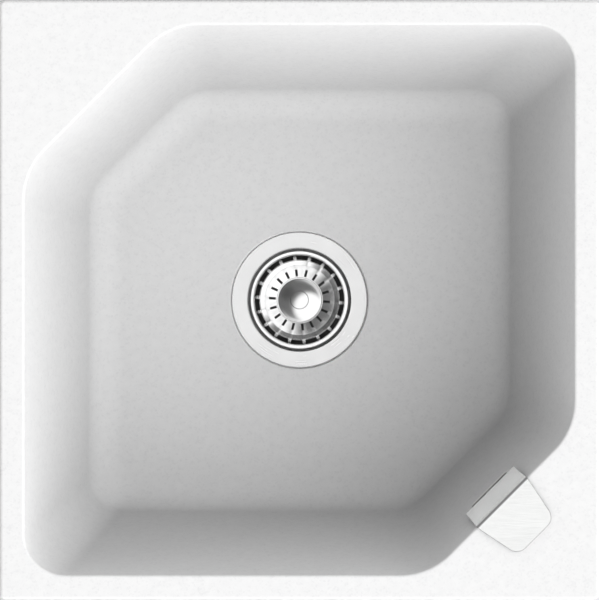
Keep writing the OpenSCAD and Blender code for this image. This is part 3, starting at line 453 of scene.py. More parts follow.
    @classmethod
    def boolean(cls, operation: str, piece: Piece, tools: Iterable[Piece]) -> Piece:
        """Cuts, joins or intersects a piece with tools, and removes them.

        Args:
            operation: DIFFERENCE, UNION or INTERSECT.
            piece: The piece to shape.
            tools: The tools, used one after the other.

        Returns:
            The same piece.
        """
        for tool in tools:
            cls.modify(piece, "BOOLEAN", operation=operation, solver="EXACT", object=tool)
            bpy.data.objects.remove(tool)
        return piece

    @classmethod
    def cut(cls, piece: Piece, *tools: Piece) -> Piece:
        """Cuts a piece with each tool."""
        return cls.boolean("DIFFERENCE", piece, tools)

    @classmethod
    def unite(cls, piece: Piece, *others: Piece) -> Piece:
        """Unites a piece with others that overlap it."""
        return cls.boolean("UNION", piece, others)

    @classmethod
    def trim(cls, piece: Piece, *tools: Piece) -> Piece:
        """Keeps what of a piece lies inside each tool."""
        return cls.boolean("INTERSECT", piece, tools)

    @classmethod
    def soften(cls, piece: Piece, width: float, steps: int = 2, angle: float = 50) -> Piece:
        """Bevels the edges that are sharper than an angle in degrees."""
        return cls.modify(
            piece, "BEVEL", width=width, segments=steps, limit_method="ANGLE",
            angle_limit=math.radians(angle), use_clamp_overlap=True, harden_normals=False,
        )

    @classmethod
    def delete_faces(cls, piece: Piece, chosen: Callable[[Vector], bool]) -> None:
        """Deletes some of a piece's faces.

        Args:
            piece: The piece.
            chosen: Whether the face with this middle is deleted.
        """
        cls.take(piece, edit=True)
        bpy.ops.mesh.select_mode(type="FACE")
        bpy.ops.mesh.select_all(action="DESELECT")
        bpy.ops.object.mode_set(mode="OBJECT")
        for face in piece.data.polygons:
            face.select = chosen(face.center)
        bpy.ops.object.mode_set(mode="EDIT")
        bpy.ops.mesh.delete(type="FACE")
        bpy.ops.mesh.select_mode(type="VERT")
        cls.clear()

    @classmethod
    def finish(cls, piece: Piece, body: str, slot: Slot, finish: "Finish", *nodes: str,
               smooth: float = 30) -> None:
        """Scales a piece to metres, smooths and dresses it, and hangs it on its body.

        Args:
            piece: The piece, in millimetres and in the sink's frame.
            body: The CAD body that it rides on.
            slot: The record's material slot, which is not used.
            finish: Its finish.
            nodes: The CAD nodes that it stands for.
            smooth: The angle up to which its faces are shaded as one, in degrees.
        """
        piece.scale = (METRES, METRES, METRES)
        cls.settle(piece)
        bpy.ops.object.shade_smooth_by_angle(angle=math.radians(smooth))
        cls.modify(piece, "WEIGHTED_NORMAL", weight=100, keep_sharp=True)
        piece.data.materials.clear()
        piece.data.materials.append(finish.material())
        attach(piece, body)
        if nodes:
            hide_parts(*nodes)
        log.info("%s: %d faces, %s", piece.name, len(piece.data.polygons), finish.name)


# Finishes


def grey(tone: float) -> tuple[float, ...]:
    """An even grey with full cover."""
    return (tone, tone, tone, 1)


class Sheet:
    """A node tree that is being wired."""

    def __init__(self, tree: Tree) -> None:
        """Takes the tree to wire."""
        self.tree = tree

    def feed(self, node: Node, inputs: dict[str | int, object]) -> Node:
        """Sets or links inputs of a node.

        Args:
            node: The node.
            inputs: Values or output sockets for its inputs, by name or number.

        Returns:
            The same node.
        """
        for key, value in inputs.items():
            if isinstance(value, Socket):
                self.tree.links.new(value, node.inputs[key])
            else:
                node.inputs[key].default_value = value
        return node

    def node(self, kind: str, inputs: dict[str | int, object] | None = None, **settings: object) -> Node:
        """Adds a node.

        Args:
            kind: The node's type, without its first word.
            inputs: Values or output sockets for its inputs, by name or number.
            settings: Its own settings.

        Returns:
            The node.
        """
        made = self.tree.nodes.new("ShaderNode" + kind)
        for key, value in settings.items():
            setattr(made, key, value)
        return self.feed(made, inputs or {})

    def place(self) -> Socket:
        """The place on the piece."""
        return self.node("TexCoord").outputs["Object"]

    def math(self, operation: str, *values: object) -> Socket:
        """The result of a Math node."""
        return self.node("Math", dict(enumerate(values)), operation=operation).outputs[0]

    def dot(self, first: object, second: object) -> Socket:
        """The dot product of two vectors."""
        return self.node("VectorMath", {0: first, 1: second}, operation="DOT_PRODUCT").outputs["Value"]

    def spread(
        self, value: object, low: object, high: object, start: float = 0.0, end: float = 1.0,
    ) -> Socket:
        """Spreads a value that runs from start to end over low to high."""
        inputs = {"Value": value, "From Min": start, "From Max": end, "To Min": low, "To Max": high}
        return self.node("MapRange", inputs).outputs["Result"]

    def noise(self, place: Socket, low: object, high: object, band: Pair, **inputs: object) -> Socket:
        """Noise at a place, with a band of its raw values spread from low to high."""
        made = self.node("TexNoise", {"Vector": place, **inputs})
        return self.spread(made.outputs["Fac"], low, high, *band)

    def mix(self, share: object, first: object, second: object) -> Socket:
        """Mixes two colours."""
        return self.node("Mix", {0: share, 6: first, 7: second}, data_type="RGBA").outputs[2]

    def bump(self, height: object, depth: float, strength: float = 1.0) -> Socket:
        """A normal from a height, whose full scale is a depth in metres."""
        settings = {"Strength": strength, "Distance": depth, "Height": height}
        return self.node("Bump", settings).outputs["Normal"]

    def group(self, tree: Tree, **inputs: object) -> Socket:
        """The value of a shared group."""
        return self.node("Group", inputs, node_tree=tree).outputs[0]


def shared_group(name: str, inputs: dict[str, float], wire: Callable[[Sheet, Node], Socket]) -> Tree:
    """A node group with one value, built once.

    Args:
        name: The group's name.
        inputs: Its inputs, with their usual values.
        wire: Wires its nodes, given the sheet and the input node, and returns the value.

    Returns:
        The group.
    """
    if name in bpy.data.node_groups:
        return bpy.data.node_groups[name]
    group = bpy.data.node_groups.new(name, "ShaderNodeTree")
    for key, value in inputs.items():
        group.interface.new_socket(key, in_out="INPUT", socket_type="NodeSocketFloat").default_value = value
    group.interface.new_socket("Value", in_out="OUTPUT", socket_type="NodeSocketFloat")
    sheet = Sheet(group)
    value = wire(sheet, group.nodes.new("NodeGroupInput"))
    sheet.feed(group.nodes.new("NodeGroupOutput"), {"Value": value})
    return group


def grain_group() -> Tree:
    """Even fine grain: a value between Low and High, with grains of 1 / Scale metres."""

    def wire(sheet: Sheet, given: Node) -> Socket:
        """Reads noise at the place on the piece."""
        scale, low, high = given.outputs["Scale"], given.outputs["Low"], given.outputs["High"]
        return sheet.noise(sheet.place(), low, high, (0.3, 0.7), Scale=scale, Detail=3.0)

    return shared_group("fine_grain", {"Scale": 900.0, "Low": 0.0, "High": 1.0}, wire)


def spun_group() -> Tree:
    """Fine lines round the Z axis, as a lathe leaves them, between Low and High."""
    along = 0.0004

    def wire(sheet: Sheet, given: Node) -> Socket:
        """Reads noise at radius and height, drawn out along the turn.

        Args:
            sheet: The group's sheet.
            given: Its input node.

        Returns:
            The lines.
        """
        x, y, z = sheet.node("SeparateXYZ", {0: sheet.place()}).outputs
        squares = sheet.math("MULTIPLY", x, x), sheet.math("MULTIPLY", y, y)
        radius = sheet.math("SQRT", sheet.math("ADD", *squares))
        turn = sheet.math("MULTIPLY", sheet.math("ARCTAN2", y, x), along)
        spot = sheet.node("CombineXYZ", {0: radius, 1: turn, 2: z}).outputs[0]
        scale, low, high = given.outputs["Scale"], given.outputs["Low"], given.outputs["High"]
        return sheet.noise(spot, low, high, (0.25, 0.75), Scale=scale, Detail=2.0)

    return shared_group("spun_lines", {"Scale": 3000.0, "Low": 0.0, "High": 1.0}, wire)


def smudge_group() -> Tree:
    """Broad soft patches, as handling and dried water leave them, from 0 to Amount."""

    def wire(sheet: Sheet, given: Node) -> Socket:
        """Reads rough noise at the place on the piece."""
        scale, amount = given.outputs["Scale"], given.outputs["Amount"]
        return sheet.noise(sheet.place(), 0.0, amount, (0.35, 0.7), Scale=scale, Detail=4.0, Roughness=0.6)

    return shared_group("smudges", {"Scale": 30.0, "Amount": 0.1}, wire)


@dataclass(frozen=True)
class Finish:
    """A surface finish. Each kind wires its own nodes."""

    name: str

    def material(self) -> bpy.types.Material:
        """The finish's material, built when it is first asked for."""
        made = bpy.data.materials.get(self.name)
        if made is None:
            made = bpy.data.materials.new(self.name)
            made.use_nodes = True
            self.wire(Sheet(made.node_tree), made.node_tree.nodes["Principled BSDF"])
        return made

    def wire(self, sheet: Sheet, shader: Node) -> None:
        """Wires the finish's nodes to the shader."""
        raise NotImplementedError

    def tint(self, sheet: Sheet, colour: Socket) -> Socket:
        """The colour with what else tints it, which is nothing on a plain finish."""
        return colour


@dataclass(frozen=True)
class Composite(Finish):
    """White stone composite: quartz grains in resin, matte, with a faint speckle.

    Its walls light one another less than its white would, which keeps the bowl's own shading.
    """

    light: Triple = (0.9, 0.9, 0.9)
    dark: Triple = (0.81, 0.81, 0.815)
    bounce: float = 0.18
    grain_scale: float = 620.0
    mottle_scale: float = 150.0
    mottle: float = 0.35
    roughness: Pair = (0.5, 0.68)
    grain_depth: float = 0.00003
    gloss: float = 0.35

    def wire(self, sheet: Sheet, shader: Node) -> None:
        """Speckles the base colour and gives the surface its grain.

        Args:
            sheet: The material's sheet.
            shader: Its shader.
        """
        settings = {"Vector": sheet.place(), "Scale": self.grain_scale, "Randomness": 1.0}
        grains = sheet.node("TexVoronoi", settings)
        tone = sheet.node("SeparateColor", {0: grains.outputs["Color"]}).outputs[0]
        speck = sheet.spread(tone, 0.0, 0.5, 0.72, 1.0)
        mottle = sheet.group(grain_group(), Scale=self.mottle_scale, Low=0.0, High=self.mottle)
        colour = sheet.mix(sheet.math("ADD", speck, mottle), (*self.light, 1), (*self.dark, 1))
        path = sheet.node("LightPath").outputs["Is Diffuse Ray"]
        low, high = self.roughness
        height = sheet.group(grain_group(), Scale=self.grain_scale * 1.6, Low=0.0, High=1.0)
        sheet.feed(shader, {
            "Base Color": sheet.mix(path, colour, grey(self.bounce)),
            "Roughness": sheet.group(grain_group(), Scale=self.grain_scale, Low=low, High=high),
            "Normal": sheet.bump(height, self.grain_depth, 0.5),
            "Specular IOR Level": self.gloss,
        })


class Lay(Enum):
    """Which way a metal's fine lines run."""

    NONE = "none"
    SPUN = "spun"
    BRUSHED = "brushed"


@dataclass(frozen=True)
class Metal(Finish):
    """Bare or plated metal with fine lines, soft smudges and a little variation in its gloss."""

    colour: Triple
    roughness: Pair
    lay: Lay = Lay.NONE
    turn: float = 0.0
    line_depth: float = 0.000004
    smudge: float = 0.06
    metallic: float = 1.0
    brush_scale: Triple = (60.0, 2600.0, 2600.0)
    spun_scale: float = 2600.0
    plain_scale: float = 1500.0

    def lines(self, sheet: Sheet, low: float, high: float) -> Socket:
        """The fine lines.

        Args:
            sheet: The material's sheet.
            low: Their low value.
            high: Their high value.

        Returns:
            Their value.
        """
        if self.lay is Lay.SPUN:
            return sheet.group(spun_group(), Scale=self.spun_scale, Low=low, High=high)
        if self.lay is Lay.NONE:
            return sheet.group(grain_group(), Scale=self.plain_scale, Low=low, High=high)
        settings = {"Vector": sheet.place(), "Rotation": (0, 0, self.turn), "Scale": self.brush_scale}
        place = sheet.node("Mapping", settings).outputs[0]
        return sheet.noise(place, low, high, (0.3, 0.7), Scale=1.0, Detail=2.0)

    def wire(self, sheet: Sheet, shader: Node) -> None:
        """Gives the metal its colour, gloss and lines.

        Args:
            sheet: The material's sheet.
            shader: Its shader.
        """
        low, high = self.roughness
        worn = sheet.group(smudge_group(), Scale=45.0, Amount=self.smudge)
        dull = tuple(c * 0.9 for c in self.colour)
        colour = sheet.mix(sheet.math("MULTIPLY", worn, 5.0), (*self.colour, 1), (*dull, 1))
        sheet.feed(shader, {
            "Base Color": self.tint(sheet, colour),
            "Roughness": sheet.math("ADD", self.lines(sheet, low, high), worn),
            "Normal": sheet.bump(self.lines(sheet, 0.0, 1.0), self.line_depth),
            "Metallic": self.metallic,
        })


@dataclass(frozen=True)
class RingedMetal(Metal):
    """Turned metal with painted shade on one fine ring round the Z axis, where its groove lies."""

    ring_r: float = 0.0075
    ring_w: float = 0.0004
    groove_shade_tone: float = 0.3

    def tint(self, sheet: Sheet, colour: Socket) -> Socket:
        """Paints shade into the colour on the ring.

        Args:
            sheet: The material's sheet.
            colour: The colour.

        Returns:
            The colour with the ring's painted shade.
        """
        x, y, _ = sheet.node("SeparateXYZ", {0: sheet.place()}).outputs
        flat = sheet.node("CombineXYZ", {0: x, 1: y}).outputs[0]
        radius = sheet.node("VectorMath", {0: flat}, operation="LENGTH").outputs["Value"]
        away = sheet.math("ABSOLUTE", sheet.math("SUBTRACT", radius, self.ring_r))
        share = sheet.spread(away, 1.0, 0.0, self.ring_w * 0.4, self.ring_w * 0.6)
        # painted shade: a dark line along the groove
        return sheet.mix(share, colour, grey(self.groove_shade_tone))


@dataclass(frozen=True)
class FoldedMetal(Metal):
    """Brushed sheet metal with painted shade: a dark line along its fold, and darker cut edges."""

    azimuth: float = math.radians(HOSE_AZIMUTH)
    fold_at: float = 0.239
    fold_w: float = 0.0024
    painted_shade_tone: float = 0.16
    edge_band: Pair = (0.2, 0.5)

    def tint(self, sheet: Sheet, colour: Socket) -> Socket:
        """Paints shade on the fold, and where a face looks sideways or away from the bowl.

        Args:
            sheet: The material's sheet.
            colour: The colour.

        Returns:
            The colour with its painted shade.
        """
        out = (math.cos(self.azimuth), math.sin(self.azimuth), 0)
        across = (-out[1], out[0], 0)
        where = sheet.node("TexCoord").outputs
        away = sheet.math("ABSOLUTE", sheet.math("SUBTRACT", sheet.dot(where["Object"], out), self.fold_at))
        fold = sheet.spread(away, 1.0, 0.0, self.fold_w * 0.25, self.fold_w * 0.75)
        side = sheet.math("ABSOLUTE", sheet.dot(where["Normal"], across))
        ends = sheet.math("MAXIMUM", side, sheet.dot(where["Normal"], out))
        edge = sheet.spread(ends, 0.0, 1.0, *self.edge_band)
        # painted shade: a dark line on the fold, and darker faces that look sideways or away from the bowl
        return sheet.mix(sheet.math("MAXIMUM", fold, edge), colour, grey(self.painted_shade_tone))


@dataclass(frozen=True)
class Moulded(Finish):
    """Moulded plastic or rubber, with the fine texture of its mould and a little dust."""

    colour: Triple
    roughness: Pair
    texture_scale: float = 1400.0
    texture_depth: float = 0.00001
    dust: float = 0.05
    dust_scale: float = 60.0
    dust_colour: Triple = (0.5, 0.49, 0.47)

    def wire(self, sheet: Sheet, shader: Node) -> None:
        """Gives the moulding its colour, dust, gloss and texture.

        Args:
            sheet: The material's sheet.
            shader: Its shader.
        """
        low, high = self.roughness
        dust = sheet.group(smudge_group(), Scale=self.dust_scale, Amount=self.dust)
        rough = sheet.group(grain_group(), Scale=self.texture_scale, Low=low, High=high)
        height = sheet.group(grain_group(), Scale=self.texture_scale, Low=0.0, High=1.0)
        sheet.feed(shader, {
            "Base Color": self.tint(sheet, sheet.mix(dust, (*self.colour, 1), (*self.dust_colour, 1))),
            "Roughness": sheet.math("ADD", rough, dust),
            "Normal": sheet.bump(height, self.texture_depth),
        })


@dataclass(frozen=True)
class Recessed(Moulded):
    """A moulding with painted shade behind its front face, darker the deeper it lies."""

    outward: Triple = (0.0, 0.0, 1.0)
    face: float = 0.0
    fade: Pair = (0.0001, 0.0004)
    painted_recess_tone: float = 0.3

    def tint(self, sheet: Sheet, colour: Socket) -> Socket:
        """Paints shade into the colour with the depth behind the front face."""
        depth = sheet.math("SUBTRACT", self.face, sheet.dot(sheet.place(), self.outward))
        return sheet.mix(sheet.spread(depth, 0.0, 1.0, *self.fade), colour, grey(self.painted_recess_tone))


COMPOSITE = Composite("white_composite")
FLANGE_STEEL = Metal(
    "satin_spun_steel", (0.86, 0.86, 0.86), (0.2, 0.26), Lay.SPUN,
    line_depth=0.0000005, smudge=0.03, metallic=0.7,
)
BASKET_STEEL = Metal(
    "pressed_bright_steel", (0.86, 0.86, 0.86), (0.14, 0.2), line_depth=0.000002, smudge=0.03,
)
# the knob's groove gets painted shade
KNOB_STEEL = RingedMetal(
    "turned_knob_steel", (0.8, 0.8, 0.8), (0.12, 0.17), Lay.SPUN, line_depth=0.0000015, smudge=0.03,
)
# the cover's fold and cut edges carry painted shade
COVER_STEEL = FoldedMetal(
    "brushed_cover_steel", (0.78, 0.785, 0.78), (0.12, 0.2), Lay.BRUSHED, math.radians(HOSE_AZIMUTH),
    line_depth=0.000001, smudge=0.02,
)
PLATE_STEEL = Metal("dull_plate_steel", (0.2, 0.2, 0.2), (0.4, 0.5))
PLATED = Metal("bright_plating", (0.8, 0.8, 0.8), (0.08, 0.14))
SCREW_STEEL = Metal("turned_screw_steel", (0.66, 0.66, 0.66), (0.25, 0.35))
ZINC = Metal("zinc_plating", (0.62, 0.64, 0.67), (0.32, 0.44), smudge=0.12)
BRASS = Metal("turned_brass", (0.75, 0.56, 0.25), (0.22, 0.32))
RUBBER = Moulded("black_rubber", (0.03, 0.03, 0.03), (0.6, 0.72), dust=0.12)
PLASTIC = Moulded("white_moulded_plastic", (0.78, 0.78, 0.77), (0.34, 0.44))
HOSE_PLASTIC = Moulded("grey_hose_plastic", (0.62, 0.63, 0.64), (0.42, 0.52))


# Studio


@dataclass
class Studio:
    """Camera, lamp, world and floor, in metres and degrees."""

    camera_height: float = 20.0
    sensor: float = 36.0
    view_width: float = 0.50083
    rim_top: float = 0.008
    clip_end: float = 100.0
    floor_height: float = -0.264
    floor_size: float = 6.0
    floor_tone: float = 0.82
    floor_bounce: float = 0.35
    light_azimuth: float = -39.6
    ambient: float = 1.95
    fill: float = 0.85
    fill_heights: Pair = (0.3, 0.5)
    key_elevation: float = 50.0
    key_watts: float = 3.0
    key_size: float = 1.6
    key_distance: float = 3.0
    screen_azimuth: float = 155.0
    screen_fade: Pair = (-0.42, 0.02)
    screen_heights: Pair = (0.76, 0.82)
    white: float = 1.3
    dark: float = 0.15
    darkest: float = 0.07
    window: Pair = (140.0, 68.0)
    window_reach: Pair = (32.0, 24.0)
    spot: Pair = (-30.0, 64.0)
    spot_reach: Pair = (17.0, 5.0)

    def build(self) -> None:
        """Sets the scene up round the sink."""
        bpy.context.scene.view_settings.view_transform = "Standard"
        self.camera()
        self.key()
        self.world()
        self.floor()

    def camera(self) -> None:
        """A camera that looks straight down from far away, as the photograph does."""
        view = bpy.data.cameras.new("camera")
        view.sensor_width = self.sensor
        view.lens = self.sensor * self.camera_height / self.view_width
        view.clip_end = self.clip_end
        stand = bpy.data.objects.new("camera", view)
        stand.location = (0, 0, self.rim_top + self.camera_height)
        bpy.context.scene.collection.objects.link(stand)
        bpy.context.scene.camera = stand

    def key(self) -> None:
        """A round soft lamp at the front right that looks at the sink and that no metal mirrors."""
        towards = self.direction(self.light_azimuth, self.key_elevation)
        lamp = bpy.data.lights.new("key", "AREA")
        lamp.shape = "DISK"
        lamp.size = self.key_size
        lamp.energy = self.key_watts
        stand = bpy.data.objects.new("key", lamp)
        stand.location = towards * self.key_distance
        stand.rotation_euler = towards.to_track_quat("Z", "Y").to_euler()
        stand.visible_glossy = False
        bpy.context.scene.collection.objects.link(stand)

    @staticmethod
    def direction(azimuth: float, elevation: float) -> Vector:
        """The direction of an azimuth and an elevation."""
        a, e = math.radians(azimuth), math.radians(elevation)
        return Vector((math.cos(e) * math.cos(a), math.cos(e) * math.sin(a), math.sin(e)))

    def aside(self, sheet: Sheet, azimuth: float, elevation: float = 0.0) -> Socket:
        """The cosine of the angle between a direction of the world and a given one."""
        return sheet.dot(sheet.node("TexCoord").outputs["Generated"], self.direction(azimuth, elevation))

    def disc(self, sheet: Sheet, middle: Pair, reach: Pair, value: float) -> Socket:
        """A soft round patch of the world, which starts and is full at two angles from its middle."""
        start, full = (math.cos(math.radians(a)) for a in reach)
        return sheet.spread(self.aside(sheet, *middle), 0.0, value, start, full)

    def sky(self, sheet: Sheet, up: Socket) -> Socket:
        """What lights the sink: bright towards the front right, and low down a fill from the back left.

        Args:
            sheet: The world's sheet.
            up: The height of each direction.

        Returns:
            The light in each direction.
        """
        squared = sheet.math("SUBTRACT", 1.0, sheet.math("POWER", up, 2.0))
        level = sheet.math("SQRT", sheet.math("MAXIMUM", squared, 0.0001))
        side = sheet.math("DIVIDE", self.aside(sheet, self.light_azimuth), level)
        share = sheet.spread(side, 0.0, 1.0, -1.0, 1.0)
        fill = sheet.spread(up, self.fill, 0.0, *self.fill_heights)
        return sheet.node("Mix", {0: share, 2: fill, 3: self.ambient}).outputs[0]

    def room(self, sheet: Sheet, up: Socket) -> Socket:
        """What metal mirrors: a dark room with a lit screen on one side and a round window above it.

        Args:
            sheet: The world's sheet.
            up: The height of each direction.

        Returns:
            The room's brightness in each direction.
        """
        side = self.aside(sheet, self.screen_azimuth)
        screen = sheet.spread(side, self.dark, self.white, *self.screen_fade)
        spot = self.disc(sheet, self.spot, self.spot_reach, self.dark - self.darkest)
        walls = sheet.spread(up, screen, sheet.math("SUBTRACT", self.dark, spot), *self.screen_heights)
        return sheet.math("MAXIMUM", walls, self.disc(sheet, self.window, self.window_reach, self.white))

    def world(self) -> None:
        """White where it is seen, a sky as light, and a room for metal."""
        world = bpy.data.worlds.new("studio")
        bpy.context.scene.world = world
        world.use_nodes = True
        world.node_tree.nodes.clear()
        sheet = Sheet(world.node_tree)
        path = sheet.node("LightPath").outputs
        up = sheet.node("SeparateXYZ", {0: sheet.node("TexCoord").outputs["Generated"]}).outputs[2]
        metal = sheet.math("MAXIMUM", path["Is Glossy Ray"], path["Is Transmission Ray"])
        strength = sheet.node("Mix", {0: metal, 2: self.sky(sheet, up), 3: self.room(sheet, up)}).outputs[0]
        strength = sheet.node("Mix", {0: path["Is Camera Ray"], 2: strength, 3: 1.0}).outputs[0]
        shown = sheet.node("Background", {"Color": (1, 1, 1, 1), "Strength": strength})
        sheet.node("OutputWorld", {"Surface": shown.outputs[0]})

    def floor(self) -> None:
        """A plain pale floor that keeps the sink's shadow, lights it little and is clear from below."""
        Bench.clear()
        bpy.ops.mesh.primitive_plane_add(size=self.floor_size, location=(0, 0, self.floor_height))
        plane = Bench.named("floor")
        material = bpy.data.materials.new("pale_floor")
        material.use_nodes = True
        nodes = material.node_tree.nodes
        sheet = Sheet(material.node_tree)
        path = sheet.node("LightPath").outputs["Is Diffuse Ray"]
        colour = sheet.mix(path, grey(self.floor_tone), grey(self.floor_bounce))
        shader = sheet.feed(nodes["Principled BSDF"], {"Base Color": colour, "Roughness": 0.9})
        back = sheet.node("NewGeometry").outputs["Backfacing"]
        clear = sheet.node("BsdfTransparent")
        both = sheet.node("MixShader", {0: back, 1: shader.outputs[0], 2: clear.outputs[0]})
        sheet.feed(nodes["Material Output"], {"Surface": both.outputs[0]})
        plane.data.materials.append(material)


# The sink


@dataclass
class SinkBowl:
    """The moulded bowl with its rim, bosses and tap pad."""

    size: float = 500.0
    rim_t: float = 8.0
    rim_w: float = 20.0
    rim_corner: float = 4.0
    edge: float = 2.5
    bowl_depth: float = 190.0
    wall_t: float = 10.0
    floor_t: float = 13.0
    wall_run: float = 59.0
    cut_run: float = 54.0
    cut_leg: float = 122.0
    floor_r: float = 31.0
    floor_fall: float = 3.0
    corners: Triple = (35.0, 28.0, 20.0)
    cut_corners: Triple = (60.0, 45.0, 25.0)
    drain_r: float = 45.0
    recess_foot_r: float = 57.6
    recess_depth: float = 2.5
    under_chamfer: float = 2.0
    groove: Triple = (2.0, 8.0, 2.0)
    groove_corners: Pair = (12.0, 6.0)
    clamp_shift: float = 40.0
    boss_out: float = 232.5
    boss_r: float = 6.5
    boss_end: float = -36.0
    boss_break: float = 0.7
    boss_rise: float = 1.0
    boss_cut: Pair = (-1.0, -6.0)
    insert_hole: Pair = (3.78, -24.0)
    insert_r: Pair = (2.55, 3.75)
    insert_groove: Triple = (3.4, -31.0, -29.0)
    screw_hole: Pair = (3.0, -4.0)
    tap_at: float = 201.5
    tap_pad: Pair = (28.0, -4.0)
    score: Triple = (16.0, 17.5, 3.0)
    overflow: Pair = (40.0, 14.0)
    overflow_cut: Pair = (-3.0, 13.0)
    overflow_drop: float = 35.0
    corner_flat: float = 0.15
    break_r: float = 0.6
    fall_inset: float = 2.0
    wall_steps: int = 5
    long_points: int = 24
    cut_points: int = 8
    corner_steps: int = 24
    cut_steps: int = 12
    foot_steps: int = 14
    edge_steps: int = 6

    def __post_init__(self) -> None:
        """Works out the heights and distances that follow from the sizes."""
        self.z_top = self.rim_t
        self.z_drain = self.z_top - self.bowl_depth
        self.z_floor = self.z_drain + self.floor_fall
        self.z_under = self.z_drain - self.floor_t
        self.z_recess = self.z_drain - self.recess_depth
        self.wall_h = self.z_top - self.z_floor
        self.half = self.size / 2 - self.rim_w
        self.cut_out = (2 * self.half - self.cut_leg) / math.sqrt(2)
        self.cut_mid = self.half - self.cut_leg / 2
        self.cut_lean = self.lean(self.cut_run)
        foot = self.wall_at(self.z_floor, self.half, self.wall_run, self.z_floor, self.floor_r)
        self.dish_r = foot - self.fall_inset
        self.tap = Matrix.Translation((-self.tap_at, self.tap_at, 0))
        self.clamps = [self.at_clamp(side.value) for side in Side]

    def lean(self, run: float) -> float:
        """The angle that a wall leans from the vertical, for the distance that it leans in."""
        return math.atan(run / self.wall_h)

    def wall_line(self, z: float, edge: float, run: float) -> float:
        """The distance of a plane wall from the centre at height z."""
        return edge - (self.z_top - z) * run / self.wall_h

    def foot_top(self, z0: float, run: float, r: float) -> float:
        """The height at which a wall's round foot ends."""
        return z0 + r * (1 - math.sin(self.lean(run)))

    def wall_at(self, z: float, edge: float, run: float, z0: float, r: float) -> float:
        """The distance of a wall with its foot from the centre.

        Args:
            z: The height that it is asked for.
            edge: The distance of the wall's top.
            run: The distance that the wall leans in.
            z0: The height of the floor that the foot stands on.
            r: The foot's radius.

        Returns:
            The distance.
        """
        if z >= self.foot_top(z0, run, r):
            return self.wall_line(z, edge, run)
        tangent = r * math.tan(math.pi / 4 - self.lean(run) / 2)
        return self.wall_line(z0, edge, run) - tangent + math.sqrt(max(0.0, r * r - (z0 + r - z) ** 2))

    def edge_at(self, z: float, edge: float, run: float) -> float:
        """The distance of the bowl's rounded top edge from the centre at height z."""
        tangent = self.edge * math.tan(math.pi / 4 - self.lean(run) / 2)
        return edge + tangent - math.sqrt(max(0.0, self.edge**2 - (z - self.z_top + self.edge) ** 2))

    def outline(self, side: float, cut: float, r: float, r_cut: float, z: float) -> Ring:
        """The bowl's outline at one height, with every corner round.

        Args:
            side: The distance of the straight sides from the centre.
            cut: The distance of the two cuts.
            r: The radius of the square corners.
            r_cut: The radius of the corners beside the cuts.
            z: The height.

        Returns:
            The ring's points, as many at every height.
        """
        cuts = (135, 315)
        sides = [(0, side), (90, side), (cuts[0], cut), (180, side), (270, side), (cuts[1], cut), (360, side)]
        arcs: list[list[Pair]] = []
        for (a, d), (b, e) in zip(sides, sides[1:]):
            square = b - a == 90
            radius, steps = (r, self.corner_steps) if square else (r_cut, self.cut_steps)
            ra, rb = math.radians(a), math.radians(b)
            d, e = d - radius, e - radius
            centre = (
                (d * math.sin(rb) - e * math.sin(ra)) / math.sin(rb - ra),
                (e * math.cos(ra) - d * math.cos(rb)) / math.sin(rb - ra),
            )
            arcs.append(arc(centre, radius, a, b, steps))
        points: list[Pair] = []
        for i, turn in enumerate(arcs):
            points += turn
            degrees, distance = sides[i + 1]
            normal = math.radians(degrees)
            count = self.cut_points if degrees in cuts else self.long_points
            ends = (turn[-1], arcs[(i + 1) % len(arcs)][0])
            first, last = (math.remainder(math.atan2(y, x) - normal, math.tau) for x, y in ends)
            for k in range(1, count + 1):
                t = first + (last - first) * k / (count + 1)
                reach = distance / math.cos(t)
                points.append((reach * math.cos(t + normal), reach * math.sin(t + normal)))
        return [(x, y, z) for x, y in points]

    def wall_ring(self, z: float, z0: float, grown: float, wider: float = 0.0) -> Ring:
        """A ring of one side of the bowl's wall.

        Args:
            z: Its height.
            z0: The height of that side's floor.
            grown: How far it lies outside the inner side.
            wider: How much it is widened, for the chamfer under the rim.

        Returns:
            The ring.
        """
        foot_r = self.floor_r + grown
        foot = self.foot_top(z0, self.wall_run, foot_r)
        low = z < foot
        share = (z - z0) / (foot - z0) if low else (z - foot) / (self.z_top - foot)
        r, r_cut = (
            c[2] + (c[1] - c[2]) * share if low else c[1] + (c[0] - c[1]) * share
            for c in (self.corners, self.cut_corners)
        )
        edges = ((self.half, self.wall_run), (self.cut_out, self.cut_run))
        side, cut = (self.wall_at(z, edge + grown, run, z0, foot_r) + wider for edge, run in edges)
        return self.outline(side, cut, r + grown + wider, r_cut + grown + wider, z)

    def inner_ring(self, z: float) -> Ring:
        """A ring of the bowl's inner surface."""
        return self.wall_ring(z, self.z_floor, 0.0)

    def outer_ring(self, z: float, wider: float = 0.0) -> Ring:
        """A ring of the bowl's outer surface, widened for the chamfer under the rim."""
        return self.wall_ring(z, self.z_under, self.wall_t, wider)

    def edge_ring(self, z: float) -> Ring:
        """A ring of the bowl's rounded top edge.

        Args:
            z: Its height.

        Returns:
            The ring.
        """
        side = self.edge_at(z, self.half, self.wall_run)
        grown = side - self.half
        cut = self.edge_at(z, self.cut_out, self.cut_run)
        return self.outline(side, cut, self.corners[0] + grown, self.cut_corners[0] + grown, z)

    def square_ring(self, half: float, r: float, z: float) -> Ring:
        """A ring with four round corners, its cuts a hair inside two of them."""
        return self.outline(half, (2 * half - 2 * r) / math.sqrt(2) + r - self.corner_flat, r, r, z)

    def rim_ring(self, inset: float, z: float) -> Ring:
        """A ring of the rim's outer side."""
        return self.square_ring(self.size / 2 - inset, max(0.5, self.rim_corner - inset), z)

    def round_ring(self, radius: float, z: float) -> Ring:
        """A round ring, its points in line with those of the floor's outline."""
        turns = [math.atan2(y, x) for x, y, _ in self.inner_ring(self.z_floor)]
        return [(radius * math.cos(t), radius * math.sin(t), z) for t in turns]

